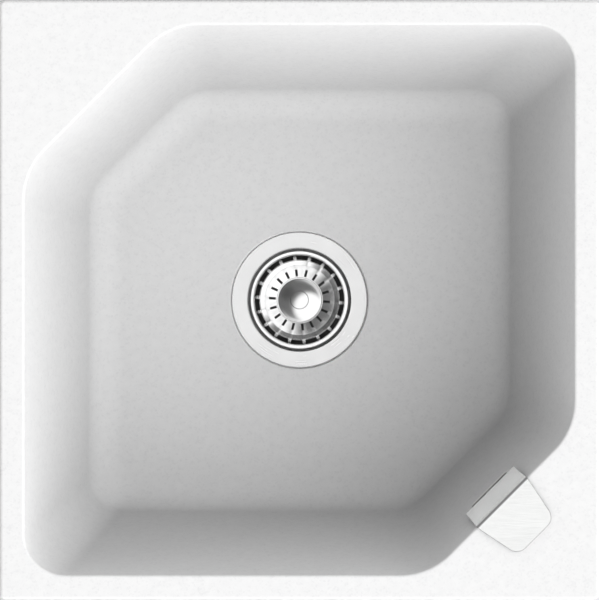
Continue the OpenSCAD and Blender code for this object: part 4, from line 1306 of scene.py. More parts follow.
    def rings(self) -> list[Ring]:
        """The skin's rings: drain, floor, wall, rim, outside, underside and back to the drain."""
        steep = math.pi / 2 - self.lean(self.wall_run)
        foot = [steep * i / self.foot_steps for i in range(self.foot_steps + 1)]
        lip = [steep * (1 - i / self.edge_steps) for i in range(self.edge_steps + 1)]
        rim = [math.pi / 2 * i / self.edge_steps for i in range(self.edge_steps + 1)]
        outer_foot = self.floor_r + self.wall_t
        near, far, deep = self.groove
        half, break_r = self.size / 2, self.break_r
        recess = rounded([
            (self.drain_r, self.z_under + break_r), (self.drain_r, self.z_recess, break_r),
            (self.recess_foot_r, self.z_recess, 0.3), (self.recess_foot_r, self.z_drain, 1.7),
            (self.dish_r, self.z_floor),
        ], 3, closed=False)
        wall_foot = self.foot_top(self.z_floor, self.wall_run, self.floor_r)
        wall_h = self.z_top - self.edge - wall_foot
        wall = [wall_foot + wall_h * i / self.wall_steps for i in range(1, self.wall_steps)]
        turns = [(self.edge * (1 - math.sin(a)), self.z_top - self.edge * (1 - math.cos(a))) for a in rim]
        return [
            *(self.round_ring(r, z) for r, z in recess),
            *(self.inner_ring(self.z_floor + self.floor_r * (1 - math.cos(a))) for a in foot),
            *(self.inner_ring(z) for z in wall),
            *(self.edge_ring(self.z_top - self.edge * (1 - math.cos(a))) for a in lip),
            *(self.rim_ring(inset, z) for inset, z in turns),
            self.rim_ring(0, break_r), self.rim_ring(break_r, 0),
            self.square_ring(half - near, self.groove_corners[0], 0),
            self.square_ring(half - near, self.groove_corners[0], deep),
            self.square_ring(half - far, self.groove_corners[1], deep),
            self.square_ring(half - far, self.groove_corners[1], 0),
            self.outer_ring(0, self.under_chamfer), self.outer_ring(-self.under_chamfer),
            *(self.outer_ring(self.z_under + outer_foot * (1 - math.cos(a))) for a in reversed(foot)),
            self.round_ring(self.drain_r + break_r, self.z_under),
        ]

    def at_cut(self) -> Matrix:
        """The frame of the front right cut: X out of the bowl, Z up."""
        return Matrix.Translation((self.cut_mid, -self.cut_mid, 0)) @ turned(HOSE_AZIMUTH)

    def on_wall(self) -> Matrix:
        """The overflow's frame on the cut wall: X out through the wall, Z up along it."""
        z = self.z_top - self.overflow_drop
        out = Matrix.Translation((self.wall_line(z, 0, self.cut_run), 0, z))
        return self.at_cut() @ out @ Matrix.Rotation(self.cut_lean, 4, "Y")

    def at_clamp(self, side: int) -> Matrix:
        """The frame of a clamp, its Y out of the bowl: back, left, front and right are 0 to 3."""
        along = self.clamp_shift if side % 2 == 0 else -self.clamp_shift
        return turned(90 * side) @ Matrix.Translation((along, self.boss_out, 0))

    def boss(self) -> Piece:
        """A boss for a clamp's screw, with its top cut back to stay inside the wall."""
        r, end, edge, rise = self.boss_r, self.boss_end, self.boss_break, self.boss_rise
        boss = Bench.lathe("boss", [(0, end), (r - edge, end), (r, end + edge), (r, rise), (0, rise)], 48)
        back, low = self.boss_cut
        return Bench.cut(boss, Bench.block("boss_back", (-2 * r, -2 * r, low), (2 * r, back, 2 * rise)))

    def pad(self) -> Piece:
        """The thick round pad under the tap hole."""
        r, low = self.tap_pad
        section = rounded([(0, low), (r, low, 1.0), (r, 1), (0, 1)], 3, closed=False)
        return Bench.place(Bench.lathe("tap_pad", section), self.tap)

    def holes(self) -> list[Piece]:
        """The tools for the clamp holes, the tap hole's score and the overflow."""
        (wide, seat), (narrow, end) = self.insert_hole, self.screw_hole
        low = self.boss_end - 1
        section = [(0, low), (wide, low), (wide, seat), (narrow, seat), (narrow, end), (0, end)]
        holes = Bench.copies(Bench.lathe("clamp_hole", section), self.clamps)
        inner, outer, top = self.score
        low = self.tap_pad[1] - 1
        score = Bench.lathe("score", [(inner, low), (outer, low), (outer, top), (inner, top)])
        overflow = Bench.slot("overflow_hole", *self.overflow, *self.overflow_cut)
        return [*holes, Bench.place(score, self.tap), Bench.place(overflow, self.on_wall())]

    def build(self) -> None:
        """Makes the bowl."""
        bowl = Bench.loft("bowl", self.rings())
        Bench.unite(bowl, Bench.gather("bosses", [*Bench.copies(self.boss(), self.clamps), self.pad()]))
        Bench.cut(bowl, Bench.gather("bowl_holes", self.holes()))
        Bench.finish(bowl, "sink", Slot.COMPOSITE, COMPOSITE, "sink_bowl")
        self.inserts()

    def inserts(self) -> None:
        """The four threaded brass inserts in the bosses."""
        low, high = self.boss_end, self.insert_hole[1]
        bore, r = self.insert_r
        section = rounded([(bore, low + 0.4), (2.9, low), (r, low, 0.3), (r, high, 0.3), (bore, high)], 2)
        deep, start, end = self.insert_groove
        ring = [(deep, start), (r + 0.75, start), (r + 0.75, end), (deep, end)]
        insert = Bench.cut(Bench.lathe("insert", section, 48), Bench.lathe("insert_ring", ring, 48))
        inserts = Bench.gather("inserts", Bench.copies(insert, self.clamps))
        Bench.finish(inserts, "sink", Slot.BRASS, BRASS, "clamp_inserts")


@dataclass
class Thread:
    """A screw thread on a rod that stands along Z."""

    crest: float
    depth: float
    pitch: float
    low: float
    high: float
    steps: int = 36
    sunk: float = 1.15
    flanks: tuple[float, ...] = (0.05, 0.42, 0.58, 0.95)

    def build(self, name: str) -> Piece:
        """The thread's ridge, which fades at both ends.

        Args:
            name: The piece's name.

        Returns:
            The ridge, with its foot inside the rod.
        """
        turns = (self.high - self.low) / self.pitch - 1
        count = round(turns * self.steps)
        ends = self.steps / 3
        root = self.crest - self.depth * self.sunk
        rings: list[Ring] = []
        for i in range(count + 1):
            turn = math.tau * i / self.steps
            z = self.low + self.pitch * (i / self.steps)
            top = self.crest - self.depth * (1 - min(1.0, i / ends, (count - i) / ends))
            rings.append([
                (r * math.cos(turn), r * math.sin(turn), z + share * self.pitch)
                for r, share in zip((root, top, top, root), self.flanks)
            ])
        return Bench.loft(name, rings, joined=False, caps=True)


@dataclass
class Spigot:
    """A hose spigot with a threaded collar. It stands along Z and ends at the origin."""

    radius: float = 10.5
    bore: float = 8.0
    collar_r: float = 11.9
    thread_depth: float = 0.9
    thread_pitch: float = 2.5
    collar_l: float = 10.0
    collar_back: float = 4.0

    def solid(self, name: str, length: float) -> Piece:
        """The spigot without its bore.

        Args:
            name: The piece's name.
            length: The spigot's length.

        Returns:
            The solid spigot.
        """
        end = -self.collar_back
        start = end - self.collar_l
        root = self.collar_r - self.thread_depth
        section = rounded([
            (0, -length), (self.radius, -length), (self.radius, start - 0.5), (root, start), (root, end),
            (self.radius, end + 0.5), (self.radius, 0, 0.6), (0, 0),
        ], 3, closed=False)
        thread = Thread(self.collar_r, self.thread_depth, self.thread_pitch, start, end)
        return Bench.unite(Bench.lathe(name, section, 64), thread.build(name + "_thread"))

    def hole(self, name: str, length: float) -> Piece:
        """The tool for its bore."""
        return Bench.rod(name, self.bore, (0, 0, -length), (0, 0, 1), 64)


# The hose's ends: their distance from the drain and their height
HOSE_TOP: Pair = (251.0, -68.0)
HOSE_FOOT: Pair = (80.0, -214.0)


def hose_end(low: bool, past: float = 0.0) -> Matrix:
    """The frame of one end of the hose, or past it, its Z along the hose and away from the spigot."""
    (reach, z), turn = (HOSE_FOOT, LYING) if low else (HOSE_TOP, Matrix.Rotation(math.pi, 4, "X"))
    return turned(HOSE_AZIMUTH) @ Matrix.Translation((reach, 0, z)) @ turn @ Matrix.Translation((0, 0, past))


@dataclass
class Waste:
    """The strainer's cup in the drain, and the plastic body, screw and nut below it."""

    flange_r: float = 57.0
    flange_lip: float = 1.0
    flange_h: float = 2.2
    mouth_r: float = 43.3
    mouth_edge: float = 1.0
    sheet: float = 1.0
    top: float = -182.0
    wall_end: float = -204.0
    floor: float = -214.0
    floor_r: float = 31.0
    hole_r: float = 6.2
    openings: int = 6
    opening_r: Pair = (11.0, 28.0)
    spoke: float = 5.0
    chamber_r: float = 50.0
    wall: float = 3.0
    gasket: Pair = (57.0, 3.0)
    body_top: float = -198.0
    body_bore: float = 46.0
    body_flange_r: float = 58.0
    body_flange: float = -203.0
    chamber_end: float = -226.0
    outlet_top: float = -242.0
    outlet_end: float = -264.0
    outlet_r: float = 23.9
    socket_r: float = 22.4
    outlet_bore: float = 20.0
    gussets: int = 12
    gusset: Triple = (4.0, 1.0, 8.0)
    spigot_l: float = 31.0
    outlet_thread: Pair = (1.3, 2.309)
    screw_thread: Pair = (0.6, 1.25)
    post_r: float = 13.0
    post: Pair = (-240.5, -215.0)
    rib_t: float = 3.0
    hex_r: float = 10.5
    nut_top: float = -233.5
    screw_r: float = 6.0
    screw_bore: float = 4.25
    screw_end: float = -240.0
    head_r: float = 9.5
    head_h: float = 4.0

    def build(self) -> None:
        """Makes the waste's pieces."""
        self.cup()
        self.body_gasket()
        self.body()
        self.funnel()
        self.tail()
        self.screw()
        self.nut()

    def body_gasket(self) -> None:
        """The flat rubber ring between the bowl and the body, pressed a little outwards."""
        low, r = self.body_top, self.body_bore
        high, out = low + self.gasket[1], self.gasket[0]
        section = rounded([(r, low, 0.5), (out, low, 0.9), (out, high, 0.9), (r, high, 0.5)], 3)
        Bench.finish(Bench.lathe("waste_gasket", section, 128), "sink", Slot.RUBBER, RUBBER, "body_gasket")

    def gusset_pieces(self) -> Piece:
        """The gussets under the flange, which leave out the hose's side."""
        r, wall, under = self.chamber_r + 2, self.chamber_r + self.wall, self.body_flange
        reach, edge, foot = self.gusset
        top, far, low = under + 0.5, wall + reach, under - foot
        outline = [(r, top), (far, top), (far, under - edge), (wall, low), (r, low)]
        gusset = Bench.place(Bench.prism("gusset", outline, -1, 1), UPRIGHT)
        places = [turned(HOSE_AZIMUTH + 360 / self.gussets * i) for i in range(1, self.gussets)]
        return Bench.gather("gussets", Bench.copies(gusset, places))

    def body(self) -> None:
        """The chamber with its flange, its gussets and the hose's spigot."""
        r, wall = self.chamber_r, self.chamber_r + self.wall
        top, under, end, out = self.body_top, self.body_flange, self.chamber_end, self.body_flange_r
        section = rounded([
            (self.body_bore, top, 0.4), (out, top, 0.6), (out, under, 1.0), (wall, under, 1.2),
            (wall, end), (r, end), (r, under, 1.0), (self.body_bore, under + 1, 0.4),
        ], 4)
        body = Bench.lathe("body", section, 144)
        spigot = Bench.place(Spigot().solid("body_spigot", self.spigot_l), hose_end(True))
        Bench.cut(spigot, Bench.rod("spigot_root", r + self.wall / 2, (0, 0, end - 4), (0, 0, top), 144))
        Bench.unite(body, self.gusset_pieces(), spigot)
        Bench.cut(body, Bench.place(Spigot().hole("spigot_bore", self.spigot_l + 9), hose_end(True)))
        Bench.finish(body, "sink", Slot.WHITE_PLASTIC, PLASTIC, "waste_body")

    def ribs(self) -> Piece:
        """The funnel's crossed ribs, with the post that holds the nut."""
        r, low, half = self.chamber_r, self.outlet_top + 6, self.rib_t / 2
        top, socket = self.chamber_end + 2.9, self.socket_r + 1 + HAIR
        inside = [(0, top), (r - 1, top), (r - 1, self.chamber_end), (socket, low), (0, low)]
        ribs = Bench.block("ribs", (-r, -half, low), (r, half, top))
        Bench.unite(ribs, Bench.block("rib_across", (-half, -r, low), (half, r, top)))
        Bench.trim(ribs, Bench.lathe("rib_limit", inside))
        end, high = self.post
        section = rounded([
            (0, end), (self.post_r, end, 0.6), (self.post_r, high, 0.6), (0, high),
        ], 3, closed=False)
        return Bench.unite(ribs, Bench.lathe("post", section, 72))

    def funnel(self) -> None:
        """The funnel with its lip, its ribs and the pocket for the nut."""
        wall, end, low = self.chamber_r + self.wall, self.chamber_end, self.outlet_top
        socket, lip, inner = self.socket_r + HAIR, self.chamber_r - HAIR, self.chamber_r - 2 - HAIR
        section = rounded([
            (wall, end), (wall, end - 1, 1.0), (self.outlet_r + self.wall, low, 0.6), (socket, low),
            (socket, low + 5, 0.4), (inner, end, 0.8), (inner, end + 3, 0.3), (lip, end + 3, 0.3), (lip, end),
        ], 3)
        funnel = Bench.unite(Bench.lathe("funnel", section, 144), self.ribs())
        pocket = Bench.prism("hex_pocket", hexagon(self.hex_r + HAIR), self.post[0] - 1, self.nut_top)
        hole = Bench.rod("post_hole", self.screw_r + 0.2, (0, 0, self.nut_top - 1), (0, 0, self.post[1] + 1))
        Bench.cut(funnel, Bench.unite(pocket, hole))
        Bench.finish(funnel, "sink", Slot.WHITE_PLASTIC, PLASTIC, "waste_funnel")

    def tail(self) -> None:
        """The outlet with its thread for the trap's nut, and the shoulder that stands in the socket."""
        top, end, bore, r = self.outlet_top - HAIR, self.outlet_end, self.outlet_bore, self.outlet_r
        depth, pitch = self.outlet_thread
        root = r - depth
        section = rounded([
            (bore, end, 0.5), (root, end, 0.8), (root, top - 4.5), (r, top - 3.2), (r, top, 0.3),
            (self.socket_r, top), (self.socket_r, top + 5 + HAIR, 0.4), (bore, top + 3.4, 0.4),
        ], 3)
        thread = Thread(r, depth, pitch, end + 0.4, top - 3.4, 72)
        tail = Bench.unite(Bench.lathe("tail", section, 144), thread.build("tail_thread"))
        Bench.finish(tail, "sink", Slot.WHITE_PLASTIC, PLASTIC, "waste_tail")

    def screw(self) -> None:
        """The hollow screw, with a slot across its head and a thread at its end."""
        bore, r, end, seat = self.screw_bore, self.screw_r, self.screw_end, self.floor
        top = seat + self.head_h
        depth, pitch = self.screw_thread
        root = r - depth
        section = rounded([
            (bore, end + 0.5), (bore + 0.4, end), (root - 0.4, end), (root, end + 0.5), (root, end + 13),
            (r, end + 13.8), (r, seat), (self.head_r, seat, 0.3), (self.head_r, top, 1.0), (bore, top, 0.5),
        ], 3)
        screw = Bench.lathe("hollow_screw", section, 72)
        Bench.unite(screw, Thread(r, depth, pitch, end + 0.3, end + 13.4).build("hollow_thread"))
        Bench.cut(screw, Bench.block("hollow_slot", (-12, -1, top - 1.4), (12, 1, top + 1)))
        Bench.finish(screw, "sink", Slot.SCREW_STEEL, SCREW_STEEL, "waste_screw")

    def nut(self) -> None:
        """The brass hexagon nut, with its corners turned off."""
        low, high, r, edge = self.post[0], self.nut_top - HAIR, self.hex_r, 0.9
        nut = Bench.prism("hollow_nut", hexagon(r), low, high)
        near, far = r - 1.2, r + 0.2
        turning = [(0, low), (near, low), (far, low + edge), (far, high - edge), (near, high), (0, high)]
        Bench.trim(nut, Bench.lathe("nut_turning", turning, 72))
        bore, wide, sink = self.screw_r + HAIR, self.screw_r + HAIR + 1, 0.8
        hole = [
            (0, low - 1), (wide, low - 1), (wide, low), (bore, low + sink), (bore, high - sink), (wide, high),
            (wide, high + 1), (0, high + 1),
        ]
        Bench.cut(nut, Bench.lathe("nut_hole", hole, 48))
        Bench.finish(nut, "sink", Slot.BRASS, BRASS, "waste_nut")

    def cup(self) -> None:
        """The drawn steel cup with its flange and the openings in its floor."""
        t, top, end, lip = self.sheet, self.top, self.top - self.flange_h, self.flange_r - self.flange_lip
        mouth, under = self.mouth_r + t, top - t
        section = rounded([
            (self.flange_r, end), (self.flange_r, top, 0.7), (self.mouth_r, top, self.mouth_edge),
            (self.mouth_r, self.wall_end, 3.0), (self.floor_r, self.floor, 4.0), (self.hole_r, self.floor),
            (self.hole_r, self.floor - t), (self.floor_r + 0.36 * t, self.floor - t, 4.0 + t),
            (mouth, self.wall_end - 0.36 * t, 3.0 + t), (mouth, under, 0.6), (lip, under, 0.4), (lip, end),
        ], 6)
        cup = Bench.lathe("cup", section, 144)
        step = 360 / self.openings
        outline = sector(*self.opening_r, self.spoke, step)
        hole = Bench.prism("cup_opening", outline, self.floor - 2 * t, self.floor + t)
        holes = Bench.copies(hole, [turned(step * (i + 0.5)) for i in range(self.openings)])
        Bench.cut(cup, Bench.gather("cup_openings", holes))
        Bench.finish(cup, "sink", Slot.SATIN_STEEL, FLANGE_STEEL, "waste_cup", smooth=25)


@dataclass
class Strainer:
    """The basket with its knob, stem and seal."""

    count: int = 18
    phase: float = 16.3
    sheet: float = 0.8
    bore: float = 4.05
    crown_rows: tuple[float, ...] = (4.6, 8.0, 12.0, 16.0)
    brow: float = 18.0
    crown: Pair = (19.7, -188.0)
    shoulder: Pair = (29.6, -192.0)
    lip: Pair = (33.5, -192.7)
    trough: Triple = (33.6, 34.5, -197.9)
    rim: Triple = (38.45, 41.15, -182.65)
    rim_end: float = -184.9
    slot: Triple = (20.0, 25.8, 1.05)
    slot_rows: Triple = (21.4, 22.9, 24.4)
    petal_rows: Pair = (27.4, 29.0)
    rib: float = 0.55
    window: Pair = (33.85, -185.6)
    window_rows: Triple = (0.3, 0.65, 1.0)
    valley_w: float = 0.35
    valley_h: float = 0.07
    pillow_h: float = 0.22
    between: int = 5
    knob_top: float = -176.0
    knob_r: float = 19.0
    knob_rim: float = 1.1
    dish_depth: float = 3.2
    dish_steps: int = 30
    ring_r: float = 7.5
    ring_groove: Triple = (0.32, 0.2, 0.5)
    neck_r: float = 9.0
    journal_r: float = 4.05
    journal_top: float = -180.7
    stem_r: float = 4.2
    stem_end: float = -233.0
    groove: Triple = (1.0, -230.0, -228.4)
    hub: Pair = (-206.2, -189.1)
    pin: Pair = (4.0, -181.0)
    seal_z: Pair = (-209.7, -207.2)
    seal_r: Pair = (35.8, 38.9)
    plate_r: float = 30.0

    def build(self) -> None:
        """Makes the strainer's pieces."""
        self.basket()
        self.knob()
        self.stem()
        self.seal()

    def line(self) -> list[Pair]:
        """The basket's upper surface in section, from its bore to the end of its rolled rim."""
        near, far, low = self.trough
        rim_in, rim_out, top = self.rim
        curl = rounded([
            (far, low), (rim_in, top, 0.5), (rim_out, top, 0.5), (rim_out, self.rim_end),
        ], 5, closed=False)[1:]
        inner, outer, _ = self.slot
        crown_r, crown_z = self.crown
        slope = (self.shoulder[1] - crown_z) / (self.shoulder[0] - crown_r)
        radii = (inner, *self.slot_rows, outer, *self.petal_rows)
        petal = [(r, crown_z + slope * (r - crown_r)) for r in radii]
        foot = rounded([
            petal[-1], (*self.shoulder, 1.0), (*self.lip, 0.4), (near, low, 0.15), (far, low, 0.4), curl[0],
        ], 5, closed=False)[1:-1]
        start, high = self.window
        sill = next(i for i, p in enumerate(foot) if p[0] > start and i > len(foot) / 2)
        foot.insert(sill, (start, low))
        a, b = foot[-1], curl[0]
        wall = [a[1] + (high - a[1]) * share for share in self.window_rows]
        climb = [(a[0] + (b[0] - a[0]) * (z - a[1]) / (b[1] - a[1]), z) for z in wall]
        middle = [(r, crown_z) for r in (self.bore, *self.crown_rows)]
        brow = rounded([(self.brow, crown_z), (*self.crown, 0.8), petal[0]], 3, closed=False)[:-1]
        return [*middle, *brow, *petal, *foot, *climb, *curl]

    def turns(self, radius: float) -> list[float]:
        """The angles of the points in one sector, from its rib on.

        Args:
            radius: The radius that they stand at.

        Returns:
            The angles, in radians.
        """
        width = math.tau / self.count
        half = self.slot[2]
        lines = ((self.rib, 0.14), (half, 0.2), (half + self.valley_w, 0.28))
        beside = [min(d / radius, width * share) for d, share in lines]
        gap = width - 2 * beside[-1]
        inside = [beside[-1] + gap * i / (self.between + 1) for i in range(1, self.between + 1)]
        return [0.0, *beside, *inside, *(width - b for b in reversed(beside))]

    def lift(self, radius: float, turn: float) -> float:
        """How far the sheet is pressed up or down between two ribs.

        Args:
            radius: The distance from the centre.
            turn: The angle from the rib, in radians.

        Returns:
            The height to add, which fades out at the crown and at the lip.
        """

        def share(value: float) -> float:
            """A value kept between 0 and 1."""
            return max(0.0, min(1.0, value))

        inner, outer, half = self.slot
        width = math.tau / self.count
        aside = min(turn, width - turn) * radius
        fade = share((self.lip[0] - radius) / (self.lip[0] - self.shoulder[0]))
        pillow = math.sin(math.pi * turn / width) * share((radius - inner) / (outer - inner))
        valley = share((half + self.valley_w - aside) / self.valley_w) * share(radius - outer)
        return fade * (self.pillow_h * pillow - self.valley_h * valley)

    def basket(self) -> None:
        """The pressed basket: rolled rim, windows, trough, petals, slots and crown."""
        starts = [math.radians(self.phase) + k * math.tau / self.count for k in range(self.count)]
        rings = []
        for r, z in self.line():
            turns = [(a + t, z + self.lift(r, t)) for a in starts for t in self.turns(r)]
            rings.append([(r * math.cos(a), r * math.sin(a), high) for a, high in turns])
        basket = Bench.loft("basket", rings, joined=False)
        Bench.delete_faces(basket, self.pierced)
        Bench.modify(basket, "SOLIDIFY", thickness=self.sheet, offset=1, use_even_offset=True)
        Bench.take(basket, edit=True)
        Bench.close()
        Bench.soften(basket, 0.1, 1, 60)
        Bench.finish(basket, "basket", Slot.SATIN_STEEL, BASKET_STEEL, "strainer_basket", smooth=35)

    def pierced(self, middle: Vector) -> bool:
        """Whether a face of the basket lies in one of its windows or slots.

        Args:
            middle: The face's middle.

        Returns:
            Whether it does.
        """
        inner, outer, half = self.slot
        start, high = self.window
        low = self.trough[2]
        width = math.tau / self.count
        r = math.hypot(middle.x, middle.y)
        turn = (math.atan2(middle.y, middle.x) - math.radians(self.phase)) % width
        aside = min(turn, width - turn) * r
        row = sum(middle.z > low + (high - low) * share for share in self.window_rows)
        ribs = (half + self.valley_w, half, self.rib)
        in_window = r > start and row < len(ribs) and aside > ribs[row]
        return inner < r < outer and aside < half or in_window and r < self.rim[0]

    def knob(self) -> None:
        """The turned knob: a dish with a fine ring, on a neck."""
        dish_r = self.knob_r - self.knob_rim
        cap_r = (dish_r**2 + self.dish_depth**2) / (2 * self.dish_depth)
        centre = self.knob_top - self.dish_depth + cap_r

        def dish(r: float) -> Pair:
            """A point of the dish, which is part of a sphere."""
            return (r, centre - math.sqrt(cap_r**2 - r * r))

        radii = [dish_r * i / self.dish_steps for i in range(self.dish_steps + 1)]
        inside = [dish(r) for r in radii if r < self.ring_r - 0.4]
        outside = [dish(r) for r in radii if r > self.ring_r + 0.4]
        wide, narrow, deep = self.ring_groove
        groove = ((-wide, 0.0), (-narrow, deep), (narrow, deep), (wide, 0.0))
        ring = [(self.ring_r + aside, dish(self.ring_r + aside)[1] - drop) for aside, drop in groove]
        r, top, neck, foot = self.knob_r, self.knob_top, self.neck_r, self.crown[1]
        outer = rounded([
            (dish_r + 0.1, top), (r, top, 0.6), (r, top - 1.6, 0.3), (15.5, top - 4, 2.0),
            (neck + 0.5, top - 5.5, 1.2), (neck, top - 7, 1.5), (neck, foot), (self.journal_r, foot),
            (self.journal_r, self.journal_top), (0.0, self.journal_top),
        ], 5, closed=False)
        knob = Bench.lathe("knob", [*inside, *ring, *outside, *outer], 128)
        Bench.finish(knob, "basket", Slot.KNOB_STEEL, KNOB_STEEL, "basket_knob", smooth=28)

    def stem(self) -> None:
        """The stem, with a groove for its ring, a hub, and the pin that the basket turns on."""
        r, end, hub_r = self.stem_r, self.stem_end, self.neck_r
        (depth, low, high), (foot, top), (pin_r, pin_top) = self.groove, self.hub, self.pin
        deep = r - depth
        section = rounded([
            (0, end), (r - 1, end, 0.3), (r, end + 1, 0.3), (r, low), (deep, low), (deep, high), (r, high),
            (r, foot), (hub_r, foot, 0.4), (hub_r, top, 0.8), (pin_r, top), (pin_r, pin_top, 0.4),
            (0, pin_top),
        ], 3, closed=False)
        Bench.finish(Bench.lathe("stem", section, 64), "plug", Slot.PLATED_STEM, PLATED, "basket_stem")
        deep, low, high = deep + HAIR, low + HAIR, high - HAIR
        ring = rounded([(deep, low, 0.5), (r, low, 0.6), (r, high, 0.6), (deep, high, 0.5)], 4)
        Bench.finish(Bench.lathe("ring", ring, 64), "plug", Slot.RUBBER, RUBBER, "stem_ring")

    def seal(self) -> None:
        """The rubber disc with its soft lip, and the steel plate over it."""
        bore, (low, high), (foot_r, lip_r) = self.stem_r + HAIR, self.seal_z, self.seal_r
        ring = low + 0.4
        disc = rounded([
            (bore, low), (24.0, low), (25.0, ring, 0.3), (27.0, ring, 0.3), (28.0, low, 0.3),
            (foot_r, low, 0.5), (lip_r, high, 0.6), (bore, high),
        ], 3)
        Bench.finish(Bench.lathe("seal", disc, 128), "plug", Slot.RUBBER, RUBBER, "basket_seal")
        low, top, edge = high, self.hub[0], self.plate_r
        ring = top - 0.3
        plate = rounded([
            (bore, low), (edge, low, 0.3), (edge, top, 0.4), (20.5, top, 0.3), (20.0, ring, 0.2),
            (19.0, ring, 0.2), (18.5, top, 0.3), (bore, top, 0.2),
        ], 3)
        Bench.finish(Bench.lathe("plate", plate, 128), "plug", Slot.SATIN_STEEL, PLATE_STEEL, "seal_plate")


@dataclass
class Overflow:
    """The bent cover over the bowl's edge and the overflow behind it."""

    sink: SinkBowl
    thickness: float = 1.2
    pad: float = 0.6
    tab: float = 40.8
    corner_r: float = 10.0
    corner_turn: float = 78.0
    fold_w: float = 59.2
    end_w: float = 56.2
    tab_w: float = 45.8
    drop: float = 30.0
    lean: float = 22.7
    fold_steps: int = 12
    through: float = 9.61
    plate: Triple = (48.0, 22.8, 3.0)
    proud: float = 3.1
    lip: Triple = (3.6, 7.0, 2.2)
    head: Triple = (54.0, 32.0, 5.0)
    head_t: float = 3.0
    spigot_l: float = 31.0
    head_face: float = 12.61
    chamber: Triple = (46.0, 24.0, 4.0)
    chamber_end: float = 37.61
    shell: float = 2.0
    rib: Pair = (15.0, 1.8)
    web_t: float = 2.0
    nut_r: float = 4.0
    nut_l: float = 8.0
    nut_end: float = 25.61
    screw_r: float = 2.0
    screw_thread: Pair = (0.25, 0.7)
    gap: float = 0.3
    frame_t: float = 2.0
    bar_w: float = 8.0
    countersink: Pair = (4.15, 2.0)

    def build(self) -> None:
        """Makes the overflow's pieces."""
        self.cover()
        self.insert()
        self.screw()
        self.brass_nut()
        self.housing()

    def screw(self) -> None:
        """The countersunk screw from the insert into the head's nut."""
        start, r, end = -self.proud, self.screw_r, self.nut_end - 1
        depth, pitch = self.screw_thread
        root = r - depth
        section = rounded([
            (0, start), (2 * r, start, 0.2), (r, start + r), (r, start + 6), (root, start + 6.5),
            (root, end - 0.5), (root - 0.5, end), (0, end),
        ], 2, closed=False)
        screw = Bench.lathe("cover_screw", section, 48)
        Bench.unite(screw, Thread(r, depth, pitch, start + 6, end - 0.3, 20).build("cover_thread"))
        Bench.cut(screw, Bench.block("cover_slot", (-0.4, -5, start - 1), (0.4, 5, start + 0.8)))
        Bench.place(screw, self.sink.on_wall() @ LYING)
        Bench.finish(screw, "sink", Slot.SCREW_STEEL, SCREW_STEEL, "overflow_screw")

    def brass_nut(self) -> None:
        """The brass nut in the head's post, with chamfered ends."""
        r, bore, end = self.nut_r, self.screw_r + HAIR, self.nut_end
        start = end - self.nut_l
        section = rounded([(bore, start), (r, start, 0.4), (r, end, 0.4), (bore, end)], 2)
        nut = Bench.place(Bench.lathe("brass_nut", section, 48), self.sink.on_wall() @ LYING)
        Bench.finish(nut, "sink", Slot.BRASS, BRASS, "overflow_nut")

    def shell_piece(self) -> Piece:
        """The head from outside: plate, chamber and ribs on the wall, and the spigot down to the hose."""
        face, end, reach = self.head_face, self.chamber_end, self.chamber[1] / 2 + 2.6
        plate_end = face + self.head_t
        head = Bench.soften(Bench.plate("head", self.head, face, plate_end), 0.6, 3)
        Bench.unite(head, Bench.soften(Bench.plate("head_chamber", self.chamber, face + 1, end), 1.2, 4))
        for side in (-1, 1):
            middle, half = side * self.rib[0], self.rib[1] / 2
            low, high = (plate_end - 1, middle - half, -reach), (end - 6, middle + half, reach)
            Bench.unite(head, Bench.soften(Bench.block("head_rib", low, high), 0.4))
        Bench.place(head, self.sink.on_wall())
        return Bench.unite(head, Bench.place(Spigot().solid("head_spigot", self.spigot_l), hose_end(False)))

    def room_piece(self) -> Piece:
        """The head's inside: chamber, mouth and bore, round the nut's post and its web."""
        face, end, shell, nut_end = self.head_face, self.chamber_end, self.shell, self.nut_end
        w, h, r = self.chamber
        width, height = self.sink.overflow
        plate_end, start = face + self.head_t, face - 2
        on_wall = self.sink.on_wall()
        room = Bench.plate("head_room", (w - 2 * shell, h - 2 * shell, r - shell), plate_end, end - shell)
        Bench.unite(room, Bench.slot("head_mouth", width - 2, height - 2, face - 1, plate_end + 1))
        Bench.place(room, on_wall)
        Bench.unite(room, Bench.place(Spigot().hole("head_bore", self.spigot_l), hose_end(False)))
        post = Bench.rod("head_post", self.nut_r + shell, (start, 0, 0), (nut_end + shell, 0, 0))
        half = self.web_t / 2
        Bench.unite(post, Bench.block("head_web", (start, -half, -h / 2), (nut_end, half, h / 2)))
        return Bench.cut(room, Bench.place(post, on_wall))

    def housing(self) -> None:
        """The head behind the wall, hollowed, with the holes for its screw and nut."""
        head = Bench.cut(self.shell_piece(), self.room_piece())
        start, end = self.nut_end - self.nut_l, self.nut_end
        hole = Bench.rod("head_hole", self.screw_r + 0.2, (self.head_face - 1, 0, 0), (end, 0, 0))
        Bench.unite(hole, Bench.rod("head_seat", self.nut_r + HAIR, (start, 0, 0), (end + HAIR, 0, 0)))
        Bench.cut(head, Bench.place(hole, self.sink.on_wall()))
        Bench.finish(head, "sink", Slot.WHITE_PLASTIC, PLASTIC, "overflow_head")

    def bend_line(self, offset: float) -> list[Pair]:
        """The cover's section along one side, X outwards and Z up.

        Args:
            offset: How far the side lies from the sheet's inner side.

        Returns:
            The points from the tab's end, round the fold, to the band's end.
        """
        r = self.sink.edge + self.pad + offset
        fold_x = self.sink.edge * math.tan(math.pi / 4 - self.sink.cut_lean / 2)
        fold_z = self.sink.z_top - self.sink.edge
        fold = arc((fold_x, fold_z), r, 90, 180 - self.lean, self.fold_steps)
        fall = fold[-1][1] - (self.sink.z_top - self.drop)
        end = (fold[-1][0] - fall * math.tan(math.radians(self.lean)), fold[-1][1] - fall)
        return [(self.tab, fold_z + r), *fold, end]

